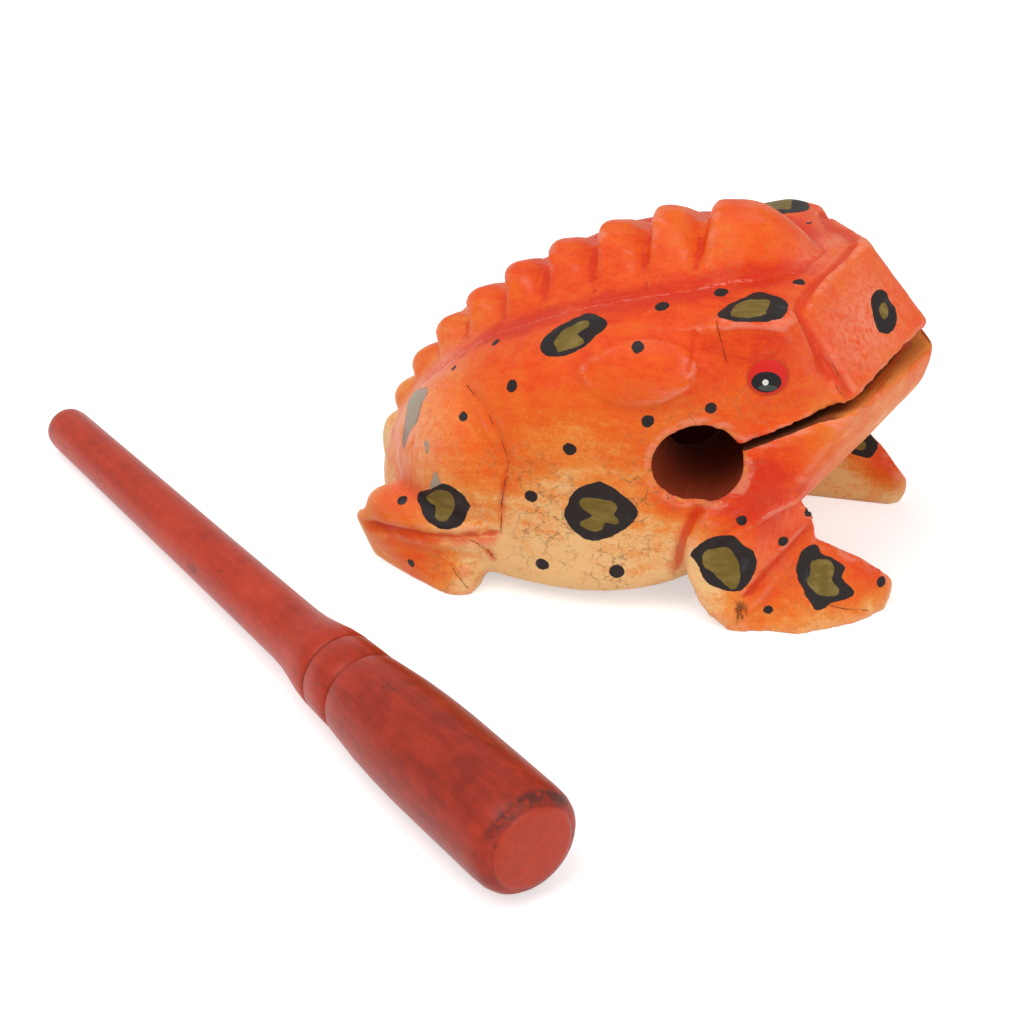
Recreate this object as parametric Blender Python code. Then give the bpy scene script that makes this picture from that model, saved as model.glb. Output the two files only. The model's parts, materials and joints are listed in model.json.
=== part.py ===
"""Carved frog rasp: a frog cut from one block of wood, and the turned stick that plays it.

The stick is drawn along the saw teeth of the frog's back ridge, and the mouth, the
cross bore through the cheeks and the hollow belly behind it make the croak louder.
Frog frame while modelling: +X is where the frog looks, +Z up, the floor at Z = 0, and
the frog is the same on both sides of Y = 0.
"""
import bpy
import bmesh
from math import asin, cos, pi, radians, sin, tan
from mathutils import Matrix, Vector

MM = 0.001

# Trunk: stations along the frog, each (x, top, bottom, half width, height of the widest line)
TRUNK_STATIONS = (
    (-45.6, 14.5, 5.0, 8.0, 9.5),
    (-43.4, 20.5, 3.0, 14.0, 11.0),
    (-38.0, 29.6, 1.6, 20.0, 12.0),
    (-31.0, 37.0, 1.0, 25.0, 12.0),
    (-22.0, 43.6, 0.9, 29.6, 13.0),
    (-10.0, 49.8, 0.9, 31.6, 13.0),
    (0.0, 53.4, 1.1, 31.4, 14.0),
    (10.0, 55.6, 3.0, 29.4, 17.0),
    (20.0, 56.5, 8.0, 26.0, 24.0),
    (28.0, 52.0, 16.0, 21.0, 30.0),
)
TRUNK_TAIL_SQUARENESS = 2.4
TRUNK_CHEST_SQUARENESS = 5.0
TRUNK_BELLY_SQUARENESS = 6.0
TRUNK_SIDES = 32
TRUNK_CURVE_STEP_COUNT = 2

# Ridge along the back: the line of its crest in the middle plane, from the tail to the brow
CREST_LINE = (
    (-46.8, 5.0),
    (-48.0, 13.0),
    (-45.0, 22.6),
    (-41.0, 30.4),
    (-35.6, 38.2),
    (-29.0, 44.9),
    (-22.0, 50.4),
    (-13.4, 55.6),
    (-5.0, 59.6),
    (4.4, 63.0),
    (14.8, 64.7),
    (20.2, 64.2),
    (26.6, 60.2),
    (30.0, 56.4),
)
CREST_CURVE_STEP_COUNT = 6
CREST_RING_EVERY_COUNT = 2
RIDGE_HALF_WIDTH = 14.6
RIDGE_HEIGHT = 8.6
RIDGE_TAIL_SCALE = 0.52
CREST_HALF_WIDTH = 3.4
CREST_CROWN_DROP = 0.7
CREST_SHOULDER_HALF_WIDTH = 7.2
CREST_SHOULDER_DROP = 4.0
RIDGE_ROOT_DEPTH = 9.0
RIDGE_ROOT_INSET = 3.0
RIDGE_FULL_SIZE_SHARE = 0.75

# Saw teeth: a notch is cut across the ridge behind each tooth but the first
TOOTH_COUNT = 10
TOOTH_PITCH_TAIL = 8.2
TOOTH_PITCH_HEAD = 10.8
FIRST_NOTCH_AT = 15.2
NOTCH_DEPTH = 4.6
NOTCH_STEEP_RUN = 1.7
NOTCH_SLOPE_SHARE = 0.72
NOTCH_SIDE_FALL = 17.0
NOTCH_REACH = 18.0
NOTCH_OPEN = 6.0
NOTCH_STEEP_RISE = 1.2
NOTCH_SLOPE_RISE = 0.25
NOTCH_SLOPE_BELLY = 0.22

# Head block: corners of its right half (x, half width, z), brow first, then crown and cheek
HEAD_CORNERS = (
    (4.0, 21.0, 50.8),
    (13.0, 25.0, 52.2),
    (18.0, 25.0, 55.0),
    (22.2, 25.0, 56.2),
    (26.8, 25.0, 55.4),
    (18.0, 13.0, 56.4),
    (26.2, 13.0, 56.8),
    (33.6, 4.0, 56.8),
    (9.0, 27.2, 36.0),
    (11.0, 28.6, 24.0),
    (20.0, 26.8, 30.0),
    (35.2, 22.8, 40.0),
    (44.0, 9.0, 44.0),
    (36.0, 21.0, 30.0),
    (13.0, 14.0, 12.0),
)

# Snout plate: two flat facets that meet on the middle plane, proud of the cheeks
SNOUT_TOP = (37.4, 0.0, 60.4)
SNOUT_TIP = (49.4, 0.0, 45.6)
SNOUT_BROW_CORNER = (29.4, 18.2, 56.4)
SNOUT_LIP_CORNER = (39.2, 23.4, 42.0)
SNOUT_PLATE_BACK = (-6.0, 0.0, -4.0)

# Mouth: the upper lip line in side view, and the saw kerf under it
LIP_LINE = (
    (14.0, 31.8),
    (20.5, 33.2),
    (24.4, 34.8),
    (28.0, 36.6),
    (33.7, 39.5),
    (37.5, 41.3),
    (40.7, 43.0),
    (45.6, 45.0),
    (49.4, 45.8),
    (52.0, 46.6),
)
LIP_CURVE_STEP_COUNT = 4
KERF_REAR = 1.3
KERF_FRONT = 4.6
KERF_WIDENS_AT = 34.0
KERF_STEP_COUNT = 14
# The kerf stops short of the jaw's raised rim: (half width, x) of its front edge seen from above
KERF_FRONT_PLAN = (
    (0.0, 50.3),
    (23.4, 40.9),
    (35.0, 36.3),
)

# Lower jaw and throat: corners of the right half (x, half width, z), from the tip back
JAW_CORNERS = (
    (51.2, 0.0, 43.5),
    (49.6, 0.0, 35.0),
    (47.0, 11.4, 42.6),
    (44.2, 11.4, 34.9),
    (39.4, 24.4, 41.0),
    (36.6, 23.4, 31.8),
    (16.0, 29.4, 20.0),
    (23.4, 29.8, 13.8),
    (20.0, 26.8, 34.0),
    (14.0, 20.0, 8.0),
)

# Cross bore through both cheeks, which the mouth runs into, and the hollow behind it
BORE_X = 14.6
BORE_Z = 29.6
BORE_WIDTH = 14.8
BORE_HEIGHT = 13.9
BORE_SIDES = 36
BORE_OVERREACH = 1.2
FLOOR_BLOCK_SIZE = 200.0
FLOOR_BLOCK_DEPTH = 40.0
HOLLOW_CENTRE_X = -6.0
HOLLOW_CENTRE_Z = 27.0
HOLLOW_LENGTH = 44.0
HOLLOW_WIDTH = 36.0
HOLLOW_HEIGHT = 32.0

# Eye button and the low shoulder pad behind it: (centre, size, turn about Z, about Y, about X)
EYE_LOBE = ((24.9, 24.1, 45.4), (10.4, 2.8, 10.4), -6.0, 0.0, 4.0)
PAD_LOBE = ((2.8, 26.4, 44.8), (24.0, 6.6, 13.0), 2.0, -6.0, 21.0)

# Blanks of the feet reach this far under the floor, and the soles are then cut flat at Z = 0
SOLE_CUT = -0.9

# Front leg: corners of the upper arm and of the foot, right side (x, half width, z)
ARM_CORNERS = (
    (14.0, 22.0, 14.0),
    (16.4, 30.0, 21.6),
    (13.6, 30.8, 15.0),
    (13.8, 31.2, 9.0),
    (17.6, 32.0, 2.4),
    (23.6, 32.4, SOLE_CUT),
    (27.0, 22.0, SOLE_CUT),
    (31.4, 26.8, 24.6),
    (35.0, 25.8, 21.2),
    (34.8, 24.8, 16.6),
    (30.0, 18.0, 16.0),
)
FOOT_CORNERS = (
    (21.0, 31.6, SOLE_CUT),
    (33.7, 30.6, SOLE_CUT),
    (42.3, 25.4, SOLE_CUT),
    (47.4, 19.2, SOLE_CUT),
    (45.0, 16.4, SOLE_CUT),
    (28.0, 16.0, SOLE_CUT),
    (48.8, 17.0, 5.2),
    (43.4, 20.2, 10.4),
    (37.0, 22.2, 13.2),
    (34.4, 24.8, 16.6),
    (38.6, 18.4, 8.0),
    (29.0, 19.0, 12.0),
    (24.0, 29.0, 12.0),
)

# Rear leg: thigh and shank as flattened eggs, given like the eye, and corners of the foot
THIGH_LOBE = ((-25.2, 17.8, 21.3), (31.0, 26.0, 31.0), 22.0, -8.0, 0.0)
SHANK_LOBE = ((-30.5, 25.0, 11.6), (28.2, 13.6, 11.0), 10.0, 1.0, 0.0)
REAR_FOOT_CORNERS = (
    (-46.7, 21.4, 9.6),
    (-46.0, 25.4, 10.6),
    (-46.2, 20.0, 3.6),
    (-43.4, 21.6, SOLE_CUT),
    (-38.8, 25.0, SOLE_CUT),
    (-33.0, 28.6, SOLE_CUT),
    (-27.0, 32.0, SOLE_CUT),
    (-23.6, 31.0, SOLE_CUT),
    (-22.4, 25.0, SOLE_CUT),
    (-32.0, 18.0, SOLE_CUT),
    (-24.8, 32.0, 5.4),
    (-21.4, 29.4, 8.4),
    (-30.0, 30.4, 9.4),
    (-38.0, 28.0, 9.6),
)

# Finish of the carving: how much the knife marks are rounded over, and the facets kept
CARVING_GRAIN = 0.75
CARVING_ROUND_COUNT = 4
CARVING_KEPT_SHARE = 0.085

# Striker: a turned stick with a thick grip
STRIKER_LENGTH = 161.5
GRIP_DIAMETER = 17.6
GRIP_LENGTH = 26.0
GRIP_NECK_DIAMETER = 14.8
GRIP_TAPER_LENGTH = 20.5
GRIP_END_RADIUS = 2.6
CUFF_LENGTH = 7.4
CUFF_DIAMETER = 14.6
CUFF_END_DIAMETER = 14.2
FLARE_LENGTH = 13.0
SHAFT_DIAMETER = 10.6
TIP_DIAMETER = 8.6
TIP_RADIUS = 2.2
RING_DEPTH = 0.45
RING_WIDTH = 0.8
SECOND_RING_SHARE = 0.7
TURNED_CURVE_STEP_COUNT = 4
FLARE_STEP_COUNT = 6
STRIKER_SIDES = 32
STRIKER_TIP_AT = (-113.9, 3.5)
STRIKER_HEADING = -42.9

FROG_PAINT = (0.78, 0.15, 0.035, 1.0)
FROG_ROUGHNESS = 0.42
STRIKER_PAINT = (0.46, 0.058, 0.03, 1.0)
STRIKER_ROUGHNESS = 0.38


def clear_scene():
    for old in list(bpy.data.objects):
        bpy.data.objects.remove(old, do_unlink=True)


def painted_wood(name, colour, roughness):
    material = bpy.data.materials.new(name)
    material.use_nodes = True
    surface = material.node_tree.nodes["Principled BSDF"]
    surface.inputs["Base Color"].default_value = colour
    surface.inputs["Roughness"].default_value = roughness
    surface.inputs["Metallic"].default_value = 0.0
    return material


def object_from(name, bm):
    bmesh.ops.recalc_face_normals(bm, faces=bm.faces[:])
    mesh = bpy.data.meshes.new(name)
    bm.to_mesh(mesh)
    bm.free()
    made = bpy.data.objects.new(name, mesh)
    bpy.context.scene.collection.objects.link(made)
    return made


def as_cutter(tool):
    tool.hide_render = True
    tool.display_type = 'WIRE'
    return tool


def cut_away(target, tool):
    """Takes the tool's shape out of the target, as a live Boolean."""
    boolean = target.modifiers.new("cut " + tool.name, 'BOOLEAN')
    boolean.operation = 'DIFFERENCE'
    boolean.solver = 'EXACT'
    boolean.object = as_cutter(tool)


def add_rings(bm, rings):
    """Skins rings of the same number of points, and closes both ends."""
    loops = [[bm.verts.new(Vector(point) * MM) for point in ring] for ring in rings]
    count = len(rings[0])
    for near, far in zip(loops, loops[1:]):
        for i in range(count):
            j = (i + 1) % count
            bm.faces.new((near[i], near[j], far[j], far[i]))
    bm.faces.new(loops[0])
    bm.faces.new(loops[-1])


def add_hull(bm, corners):
    """One convex block round its corners."""
    points = [bm.verts.new(Vector(corner) * MM) for corner in corners]
    bmesh.ops.convex_hull(bm, input=points)


def mirrored(corners):
    return [(x, -y, z) for x, y, z in corners]


def both_sides(corners):
    return list(corners) + mirrored(corners)


def both_ends(plan):
    """The (half width, x) list run from the left side over the middle to the right side."""
    return [(-y, x) for y, x in reversed(plan[1:])] + list(plan)


def smooth_line(points, steps):
    """Catmull-Rom curve through the points, with so many steps from each to the next."""
    line = []
    for i in range(len(points) - 1):
        before = Vector(points[max(i - 1, 0)])
        start = Vector(points[i])
        end = Vector(points[i + 1])
        after = Vector(points[min(i + 2, len(points) - 1)])
        for k in range(steps):
            t = k / steps
            line.append(0.5 * ((2 * start) + (end - before) * t
                               + (2 * before - 5 * start + 4 * end - after) * t * t
                               + (3 * start - before - 3 * end + after) * t ** 3))
    line.append(Vector(points[-1]))
    return line


def power(value, exponent):
    return (abs(value) ** exponent) * (1 if value >= 0 else -1)


def trunk_blank():
    """Egg-like trunk: rounded squares that grow from the rump to the chest."""
    bm = bmesh.new()
    stations = smooth_line([Vector(station) for station in TRUNK_STATIONS], TRUNK_CURVE_STEP_COUNT)
    first, last = TRUNK_STATIONS[0][0], TRUNK_STATIONS[-1][0]
    belly_extra = TRUNK_BELLY_SQUARENESS - TRUNK_CHEST_SQUARENESS
    rings = []
    for x, top, bottom, half_width, widest in stations:
        along = min(1.0, 2.0 * (x - first) / (last - first))
        squareness = TRUNK_TAIL_SQUARENESS + (TRUNK_CHEST_SQUARENESS - TRUNK_TAIL_SQUARENESS) * along
        ring = []
        for i in range(TRUNK_SIDES):
            angle = 2 * pi * i / TRUNK_SIDES
            above = sin(angle) >= 0
            height = (top - widest) if above else (widest - bottom)
            bend = 2 / (squareness if above else squareness + belly_extra)
            ring.append((x, half_width * power(cos(angle), bend), widest + height * power(sin(angle), bend)))
        rings.append(ring)
    add_rings(bm, rings)
    return object_from("trunk blank", bm)


def crest_path():
    """Points of the crest with their outward normals and the distance run from the tail."""
    line = smooth_line([Vector(point) for point in CREST_LINE], CREST_CURVE_STEP_COUNT)
    path = []
    run = 0.0
    for i, point in enumerate(line):
        ahead = line[min(i + 1, len(line) - 1)] - line[max(i - 1, 0)]
        ahead.normalize()
        if i:
            run += (point - line[i - 1]).length
        path.append((run, point, Vector((-ahead.y, ahead.x)), ahead))
    return path


def crest_at(path, run):
    for (run_a, point_a, normal_a, ahead_a), (run_b, point_b, normal_b, ahead_b) in zip(path, path[1:]):
        if run <= run_b:
            t = (run - run_a) / (run_b - run_a)
            return point_a.lerp(point_b, t), normal_a.lerp(normal_b, t), ahead_a.lerp(ahead_b, t)
    return path[-1][1], path[-1][2], path[-1][3]


def ridge_scale(path, run):
    return RIDGE_TAIL_SCALE + (1 - RIDGE_TAIL_SCALE) * min(1.0, run / (RIDGE_FULL_SIZE_SHARE * path[-1][0]))


def ridge_blank(path):
    """Roof-shaped ridge swept along the crest, before its teeth are cut."""
    bm = bmesh.new()
    half_section = (
        (0.0, 0.0),
        (CREST_HALF_WIDTH, CREST_CROWN_DROP),
        (CREST_SHOULDER_HALF_WIDTH, CREST_SHOULDER_DROP),
        (RIDGE_HALF_WIDTH, RIDGE_HEIGHT),
        (RIDGE_HALF_WIDTH - RIDGE_ROOT_INSET, RIDGE_HEIGHT + RIDGE_ROOT_DEPTH),
    )
    section = list(half_section) + [(-y, drop) for y, drop in reversed(half_section[1:])]
    rings = []
    for run, point, normal, ahead in path[::CREST_RING_EVERY_COUNT]:
        scale = ridge_scale(path, run)
        ring = []
        for y, drop in section:
            place = point - normal * drop * scale
            ring.append((place.x, y * scale, place.y))
        rings.append(ring)
    add_rings(bm, rings)
    return object_from("ridge blank", bm)


def notch_cutter(path):
    """A row of three-sided knife cuts, one behind each tooth but the first."""
    bm = bmesh.new()
    run = FIRST_NOTCH_AT
    for i in range(TOOTH_COUNT - 1):
        share = i / (TOOTH_COUNT - 2)
        pitch = TOOTH_PITCH_TAIL + (TOOTH_PITCH_HEAD - TOOTH_PITCH_TAIL) * share
        point, normal, ahead = crest_at(path, run)
        depth = NOTCH_DEPTH * ridge_scale(path, run)
        slope_run = pitch * NOTCH_SLOPE_SHARE
        outline = (
            (0.0, -depth),
            (NOTCH_STEEP_RUN, NOTCH_STEEP_RISE),
            (0.6 * NOTCH_STEEP_RUN, NOTCH_OPEN),
            (-1.25 * slope_run, NOTCH_OPEN),
            (-slope_run, NOTCH_SLOPE_RISE),
            (-0.5 * slope_run, -NOTCH_SLOPE_BELLY * depth),
        )
        rings = []
        for side in (-1, 0, 1):
            fall = NOTCH_REACH * tan(radians(NOTCH_SIDE_FALL)) * abs(side)
            ring = []
            for along, out in outline:
                place = point + ahead * along + normal * (out - fall)
                ring.append((place.x, NOTCH_REACH * side, place.y))
            rings.append(ring)
        add_rings(bm, rings)
        run += pitch
    return object_from("notch cutter", bm)


def head_blank():
    """Head block with flat cheeks and brows; the mouth is sawn into it later."""
    bm = bmesh.new()
    add_hull(bm, both_sides(HEAD_CORNERS))
    return object_from("head blank", bm)


def snout_plate():
    """The two snout facets, given thickness back into the head."""
    bm = bmesh.new()
    corners = [Vector(SNOUT_TOP), Vector(SNOUT_TIP), Vector(SNOUT_BROW_CORNER), Vector(SNOUT_LIP_CORNER)]
    back = Vector(SNOUT_PLATE_BACK)
    half = [tuple(corner) for corner in corners] + [tuple(corner + back) for corner in corners]
    add_hull(bm, both_sides(half))
    return object_from("snout plate", bm)


def jaw_blank():
    bm = bmesh.new()
    add_hull(bm, both_sides(JAW_CORNERS))
    return object_from("jaw blank", bm)


def lobe(bm, centre, size, turn_z, turn_y, turn_x, side):
    """A flattened egg; the left one is the right one mirrored."""
    made = bmesh.ops.create_icosphere(bm, subdivisions=4, radius=0.5)
    turn = (Matrix.Rotation(radians(turn_z) * side, 4, 'Z')
            @ Matrix.Rotation(radians(turn_y), 4, 'Y')
            @ Matrix.Rotation(radians(turn_x) * side, 4, 'X'))
    place = Matrix.Translation(Vector((centre[0], centre[1] * side, centre[2])) * MM)
    stretch = Matrix.Diagonal((size[0] * MM, size[1] * MM, size[2] * MM, 1.0))
    bmesh.ops.transform(bm, matrix=place @ turn @ stretch, verts=made["verts"])


def limbs_blank():
    bm = bmesh.new()
    for side in (1, -1):
        for corners in (ARM_CORNERS, FOOT_CORNERS, REAR_FOOT_CORNERS):
            add_hull(bm, [(x, y * side, z) for x, y, z in corners])
        for shape in (THIGH_LOBE, SHANK_LOBE, PAD_LOBE, EYE_LOBE):
            lobe(bm, *shape, side)
    return object_from("limbs blank", bm)


def lip_height(line, x):
    for near, far in zip(line, line[1:]):
        if x <= far.x:
            return near.y + (far.y - near.y) * (x - near.x) / (far.x - near.x)
    return line[-1].y


def mouth_cutter():
    """Saw kerf under the lip line, from the cross bore out to the jaw's rim and the sides."""
    bm = bmesh.new()
    lip = smooth_line([Vector(point) for point in LIP_LINE], LIP_CURVE_STEP_COUNT)
    first, last = LIP_LINE[0][0], LIP_LINE[-1][0]
    rings = []
    for half_width, front in both_ends(KERF_FRONT_PLAN):
        upper = []
        lower = []
        for k in range(KERF_STEP_COUNT + 1):
            x = first + (front - first) * k / KERF_STEP_COUNT
            widened = max(0.0, (x - KERF_WIDENS_AT) / (last - KERF_WIDENS_AT))
            z = lip_height(lip, x)
            upper.append((x, half_width, z))
            lower.append((x, half_width, z - KERF_REAR - (KERF_FRONT - KERF_REAR) * widened))
        rings.append(upper + lower[::-1])
    add_rings(bm, rings)
    return object_from("mouth cutter", bm)


def bore_cutter():
    """A hole a little wider than it is high, right through both cheeks."""
    bm = bmesh.new()
    widest = max(half_width for x, top, bottom, half_width, height in TRUNK_STATIONS)
    turn = Matrix.Rotation(pi / 2, 4, 'X')
    place = Matrix.Translation(Vector((BORE_X, 0.0, BORE_Z)) * MM)
    size = Matrix.Diagonal((BORE_WIDTH * MM, 2 * BORE_OVERREACH * widest * MM, BORE_HEIGHT * MM, 1.0))
    bmesh.ops.create_cone(bm, cap_ends=True, segments=BORE_SIDES, radius1=0.5, radius2=0.5, depth=1.0,
                          matrix=place @ size @ turn)
    return object_from("bore cutter", bm)


def hollow_cutter():
    """Sound hollow in the belly, open to the cross bore."""
    bm = bmesh.new()
    bmesh.ops.create_icosphere(bm, subdivisions=3, radius=0.5)
    stretch = Matrix.Diagonal((HOLLOW_LENGTH * MM, HOLLOW_WIDTH * MM, HOLLOW_HEIGHT * MM, 1.0))
    place = Matrix.Translation(Vector((HOLLOW_CENTRE_X, 0.0, HOLLOW_CENTRE_Z)) * MM)
    bmesh.ops.transform(bm, matrix=place @ stretch, verts=bm.verts[:])
    return object_from("hollow cutter", bm)


def floor_cutter():
    """Everything below the soles."""
    bm = bmesh.new()
    size = Matrix.Diagonal((FLOOR_BLOCK_SIZE * MM, FLOOR_BLOCK_SIZE * MM, FLOOR_BLOCK_DEPTH * MM, 1.0))
    place = Matrix.Translation(Vector((0.0, 0.0, -0.5 * FLOOR_BLOCK_DEPTH)) * MM)
    bmesh.ops.create_cube(bm, size=1.0, matrix=place @ size)
    return object_from("floor cutter", bm)


def evaluated_copy(source, name):
    """The object's mesh with its modifiers taken in, as a new object."""
    graph = bpy.context.evaluated_depsgraph_get()
    mesh = bpy.data.meshes.new_from_object(source.evaluated_get(graph))
    made = bpy.data.objects.new(name, mesh)
    bpy.context.scene.collection.objects.link(made)
    return made


def joined(name, blanks):
    """All the blanks in one mesh, still overlapping."""
    bm = bmesh.new()
    for blank in blanks:
        bm.from_mesh(blank.data)
    return object_from(name, bm)


def carved_frog():
    path = crest_path()
    ridge = ridge_blank(path)
    cut_away(ridge, notch_cutter(path))
    toothed_ridge = evaluated_copy(ridge, "toothed ridge")
    blanks = [trunk_blank(), toothed_ridge, head_blank(), snout_plate(), jaw_blank(), limbs_blank()]
    frog = joined("frog_body", blanks)
    for blank in blanks + [ridge]:
        bpy.data.objects.remove(blank, do_unlink=True)

    shell = frog.modifiers.new("one skin", 'REMESH')
    shell.mode = 'VOXEL'
    shell.voxel_size = CARVING_GRAIN * MM
    rounding = frog.modifiers.new("rounded by sanding", 'SMOOTH')
    rounding.factor = 0.5
    rounding.iterations = CARVING_ROUND_COUNT
    fewer = frog.modifiers.new("fewer facets", 'DECIMATE')
    fewer.ratio = CARVING_KEPT_SHARE

    cut_away(frog, bore_cutter())
    cut_away(frog, hollow_cutter())
    cut_away(frog, mouth_cutter())
    cut_away(frog, floor_cutter())
    frog.data.materials.append(painted_wood("orange paint on wood", FROG_PAINT, FROG_ROUGHNESS))
    return frog


def striker_profile():
    """Radius against distance from the grip's end, as the lathe leaves it."""
    grip = 0.5 * GRIP_DIAMETER
    neck = 0.5 * GRIP_NECK_DIAMETER
    cuff = 0.5 * CUFF_DIAMETER
    cuff_end = 0.5 * CUFF_END_DIAMETER
    shaft = 0.5 * SHAFT_DIAMETER
    tip = 0.5 * TIP_DIAMETER
    profile = [(0.0, 0.0)]
    for k in range(TURNED_CURVE_STEP_COUNT + 1):
        angle = 0.5 * pi * k / TURNED_CURVE_STEP_COUNT
        profile.append((GRIP_END_RADIUS * (1 - cos(angle)), grip - GRIP_END_RADIUS * (1 - sin(angle))))
    profile.append((GRIP_LENGTH, grip))
    for k in range(1, TURNED_CURVE_STEP_COUNT + 1):
        share = k / TURNED_CURVE_STEP_COUNT
        swell = neck + (grip - neck) * cos(0.5 * pi * share)
        profile.append((GRIP_LENGTH + GRIP_TAPER_LENGTH * share, swell))
    ring_one = GRIP_LENGTH + GRIP_TAPER_LENGTH
    profile.append((ring_one + 0.5 * RING_WIDTH, neck - RING_DEPTH))
    profile.append((ring_one + RING_WIDTH, cuff))
    ring_two = ring_one + CUFF_LENGTH
    profile.append((ring_two, cuff_end))
    profile.append((ring_two + 0.5 * RING_WIDTH, cuff_end - SECOND_RING_SHARE * RING_DEPTH))
    flare_start = ring_two + RING_WIDTH
    profile.append((flare_start, cuff_end))
    for k in range(1, FLARE_STEP_COUNT + 1):
        share = k / FLARE_STEP_COUNT
        ease = share * share * (3 - 2 * share)
        profile.append((flare_start + FLARE_LENGTH * share, cuff_end + (shaft - cuff_end) * ease))
    profile.append((STRIKER_LENGTH - TIP_RADIUS, tip))
    for k in range(1, TURNED_CURVE_STEP_COUNT + 1):
        angle = 0.5 * pi * k / TURNED_CURVE_STEP_COUNT
        profile.append((STRIKER_LENGTH - TIP_RADIUS * (1 - sin(angle)), tip - TIP_RADIUS * (1 - cos(angle))))
    profile.append((STRIKER_LENGTH, 0.0))
    return profile


def turned_striker():
    """The stick lies on the floor on its grip and on its thin tip."""
    bm = bmesh.new()
    profile = striker_profile()
    rings = []
    for along, radius in profile[1:-1]:
        ring = []
        for i in range(STRIKER_SIDES):
            angle = 2 * pi * i / STRIKER_SIDES
            ring.append((along, radius * cos(angle), radius * sin(angle)))
        rings.append(ring)
    add_rings(bm, rings)
    striker = object_from("striker", bm)
    grip = 0.5 * GRIP_DIAMETER
    tip = 0.5 * TIP_DIAMETER
    contact_run = STRIKER_LENGTH - TIP_RADIUS - GRIP_LENGTH
    droop = asin((grip - tip) / contact_run)
    lie = Matrix.Rotation(radians(STRIKER_HEADING + 180.0), 4, 'Z') @ Matrix.Rotation(droop, 4, 'Y')
    for vertex in striker.data.vertices:
        vertex.co = lie @ vertex.co
    lowest = min(vertex.co.z for vertex in striker.data.vertices)
    tip_end = lie @ Vector((STRIKER_LENGTH * MM, 0.0, 0.0))
    shift = Vector((STRIKER_TIP_AT[0] * MM - tip_end.x, STRIKER_TIP_AT[1] * MM - tip_end.y,
                    -lowest))
    for vertex in striker.data.vertices:
        vertex.co += shift
    striker.data.materials.append(painted_wood("red paint on wood", STRIKER_PAINT, STRIKER_ROUGHNESS))
    for polygon in striker.data.polygons:
        polygon.use_smooth = True
    return striker


def stand_at_origin(pieces):
    """Moves the set so that the middle of its footprint is the origin and the floor is Z = 0."""
    bpy.context.view_layer.update()
    graph = bpy.context.evaluated_depsgraph_get()
    corners = []
    for piece in pieces:
        mesh = piece.evaluated_get(graph).data
        corners += [vertex.co.copy() for vertex in mesh.vertices]
    low = Vector([min(corner[i] for corner in corners) for i in range(3)])
    high = Vector([max(corner[i] for corner in corners) for i in range(3)])
    move = Vector((-(low.x + high.x) / 2, -(low.y + high.y) / 2, -low.z))
    for piece in bpy.context.scene.objects:
        piece.location += move


clear_scene()
frog_body = carved_frog()
striker = turned_striker()
stand_at_origin([frog_body, striker])
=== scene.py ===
"""Looks of the frog guiro: a carved and painted wooden frog, and the turned stick that plays it."""
import json
from math import asin, cos, pi, radians, sin, tan

import bmesh
import bpy
import numpy as np
from mathutils import Matrix, Vector
from mathutils.bvhtree import BVHTree

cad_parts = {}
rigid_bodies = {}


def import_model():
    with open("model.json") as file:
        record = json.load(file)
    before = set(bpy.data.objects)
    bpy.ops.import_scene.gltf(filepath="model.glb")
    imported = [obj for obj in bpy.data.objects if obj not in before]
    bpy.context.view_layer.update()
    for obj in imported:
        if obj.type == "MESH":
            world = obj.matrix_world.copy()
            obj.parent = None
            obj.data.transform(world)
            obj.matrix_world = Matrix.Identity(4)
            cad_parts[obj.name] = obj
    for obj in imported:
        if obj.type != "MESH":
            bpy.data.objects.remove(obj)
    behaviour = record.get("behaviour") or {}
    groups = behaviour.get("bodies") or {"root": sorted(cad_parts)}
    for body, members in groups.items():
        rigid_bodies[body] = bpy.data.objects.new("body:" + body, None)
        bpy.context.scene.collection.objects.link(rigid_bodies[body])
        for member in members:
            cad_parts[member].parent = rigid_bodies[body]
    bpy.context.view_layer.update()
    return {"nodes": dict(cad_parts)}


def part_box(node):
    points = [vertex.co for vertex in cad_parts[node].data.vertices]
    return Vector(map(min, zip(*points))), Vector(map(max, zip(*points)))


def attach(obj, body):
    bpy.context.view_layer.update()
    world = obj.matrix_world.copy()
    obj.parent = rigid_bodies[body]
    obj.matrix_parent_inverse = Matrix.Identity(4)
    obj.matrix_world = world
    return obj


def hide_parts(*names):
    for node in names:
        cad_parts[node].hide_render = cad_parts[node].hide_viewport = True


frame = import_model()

MM = 0.001


# The frog
# One block of soft wood, cut with saw, knife and drill, sanded, cut again where an edge has to
# be crisp, and brushed with thin paint: cream and orange, red on top, then the dark spots.
JAW_REACH = 50.98
WELD_DISTANCE = 0.01
SKIN_GRAIN = 0.635
SANDING_ROUNDS = 6
JAW_SANDING_ROUNDS = 38
JAW_BEGINS = (41.0, 46.5)
JAW_ABOVE = 20
EDGE_ROUNDS = 14
EDGE_SHARPENING = 0.8
EDGE_SHARPENING_LIMIT = 0.45
CRISP_ANGLE = 42

# The cuts that are made again after sanding, in mm in the frog's own frame: X the way it looks,
# Y from its middle plane to its left, Z up from its soles
BORE_AXIS = (14.6, 29.6)
BORE_HALF_SIZE = (7.5, 7.0)
BORE_LENGTH = 80.0
BORE_SIDES = 96
HOLLOW_CENTRE = (-6.0, 0.0, 27.0)
HOLLOW_HALF_SIZE = (22.0, 18.0, 16.0)
LIP_LINE = ((14.0, 31.8), (20.5, 33.2), (24.4, 34.8), (28.0, 36.6), (33.7, 39.5),
            (37.5, 41.3), (40.7, 43.0), (45.6, 45.0), (49.4, 45.8), (52.0, 46.6))
KERF_HEIGHTS = ((14.0, 1.3), (34.0, 1.3), (52.0, 4.6))
KERF_FRONTS = ((-35.0, 36.3), (-23.4, 40.9), (0.0, 50.3), (23.4, 40.9), (35.0, 36.3))
KERF_EASE = 0.10
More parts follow.
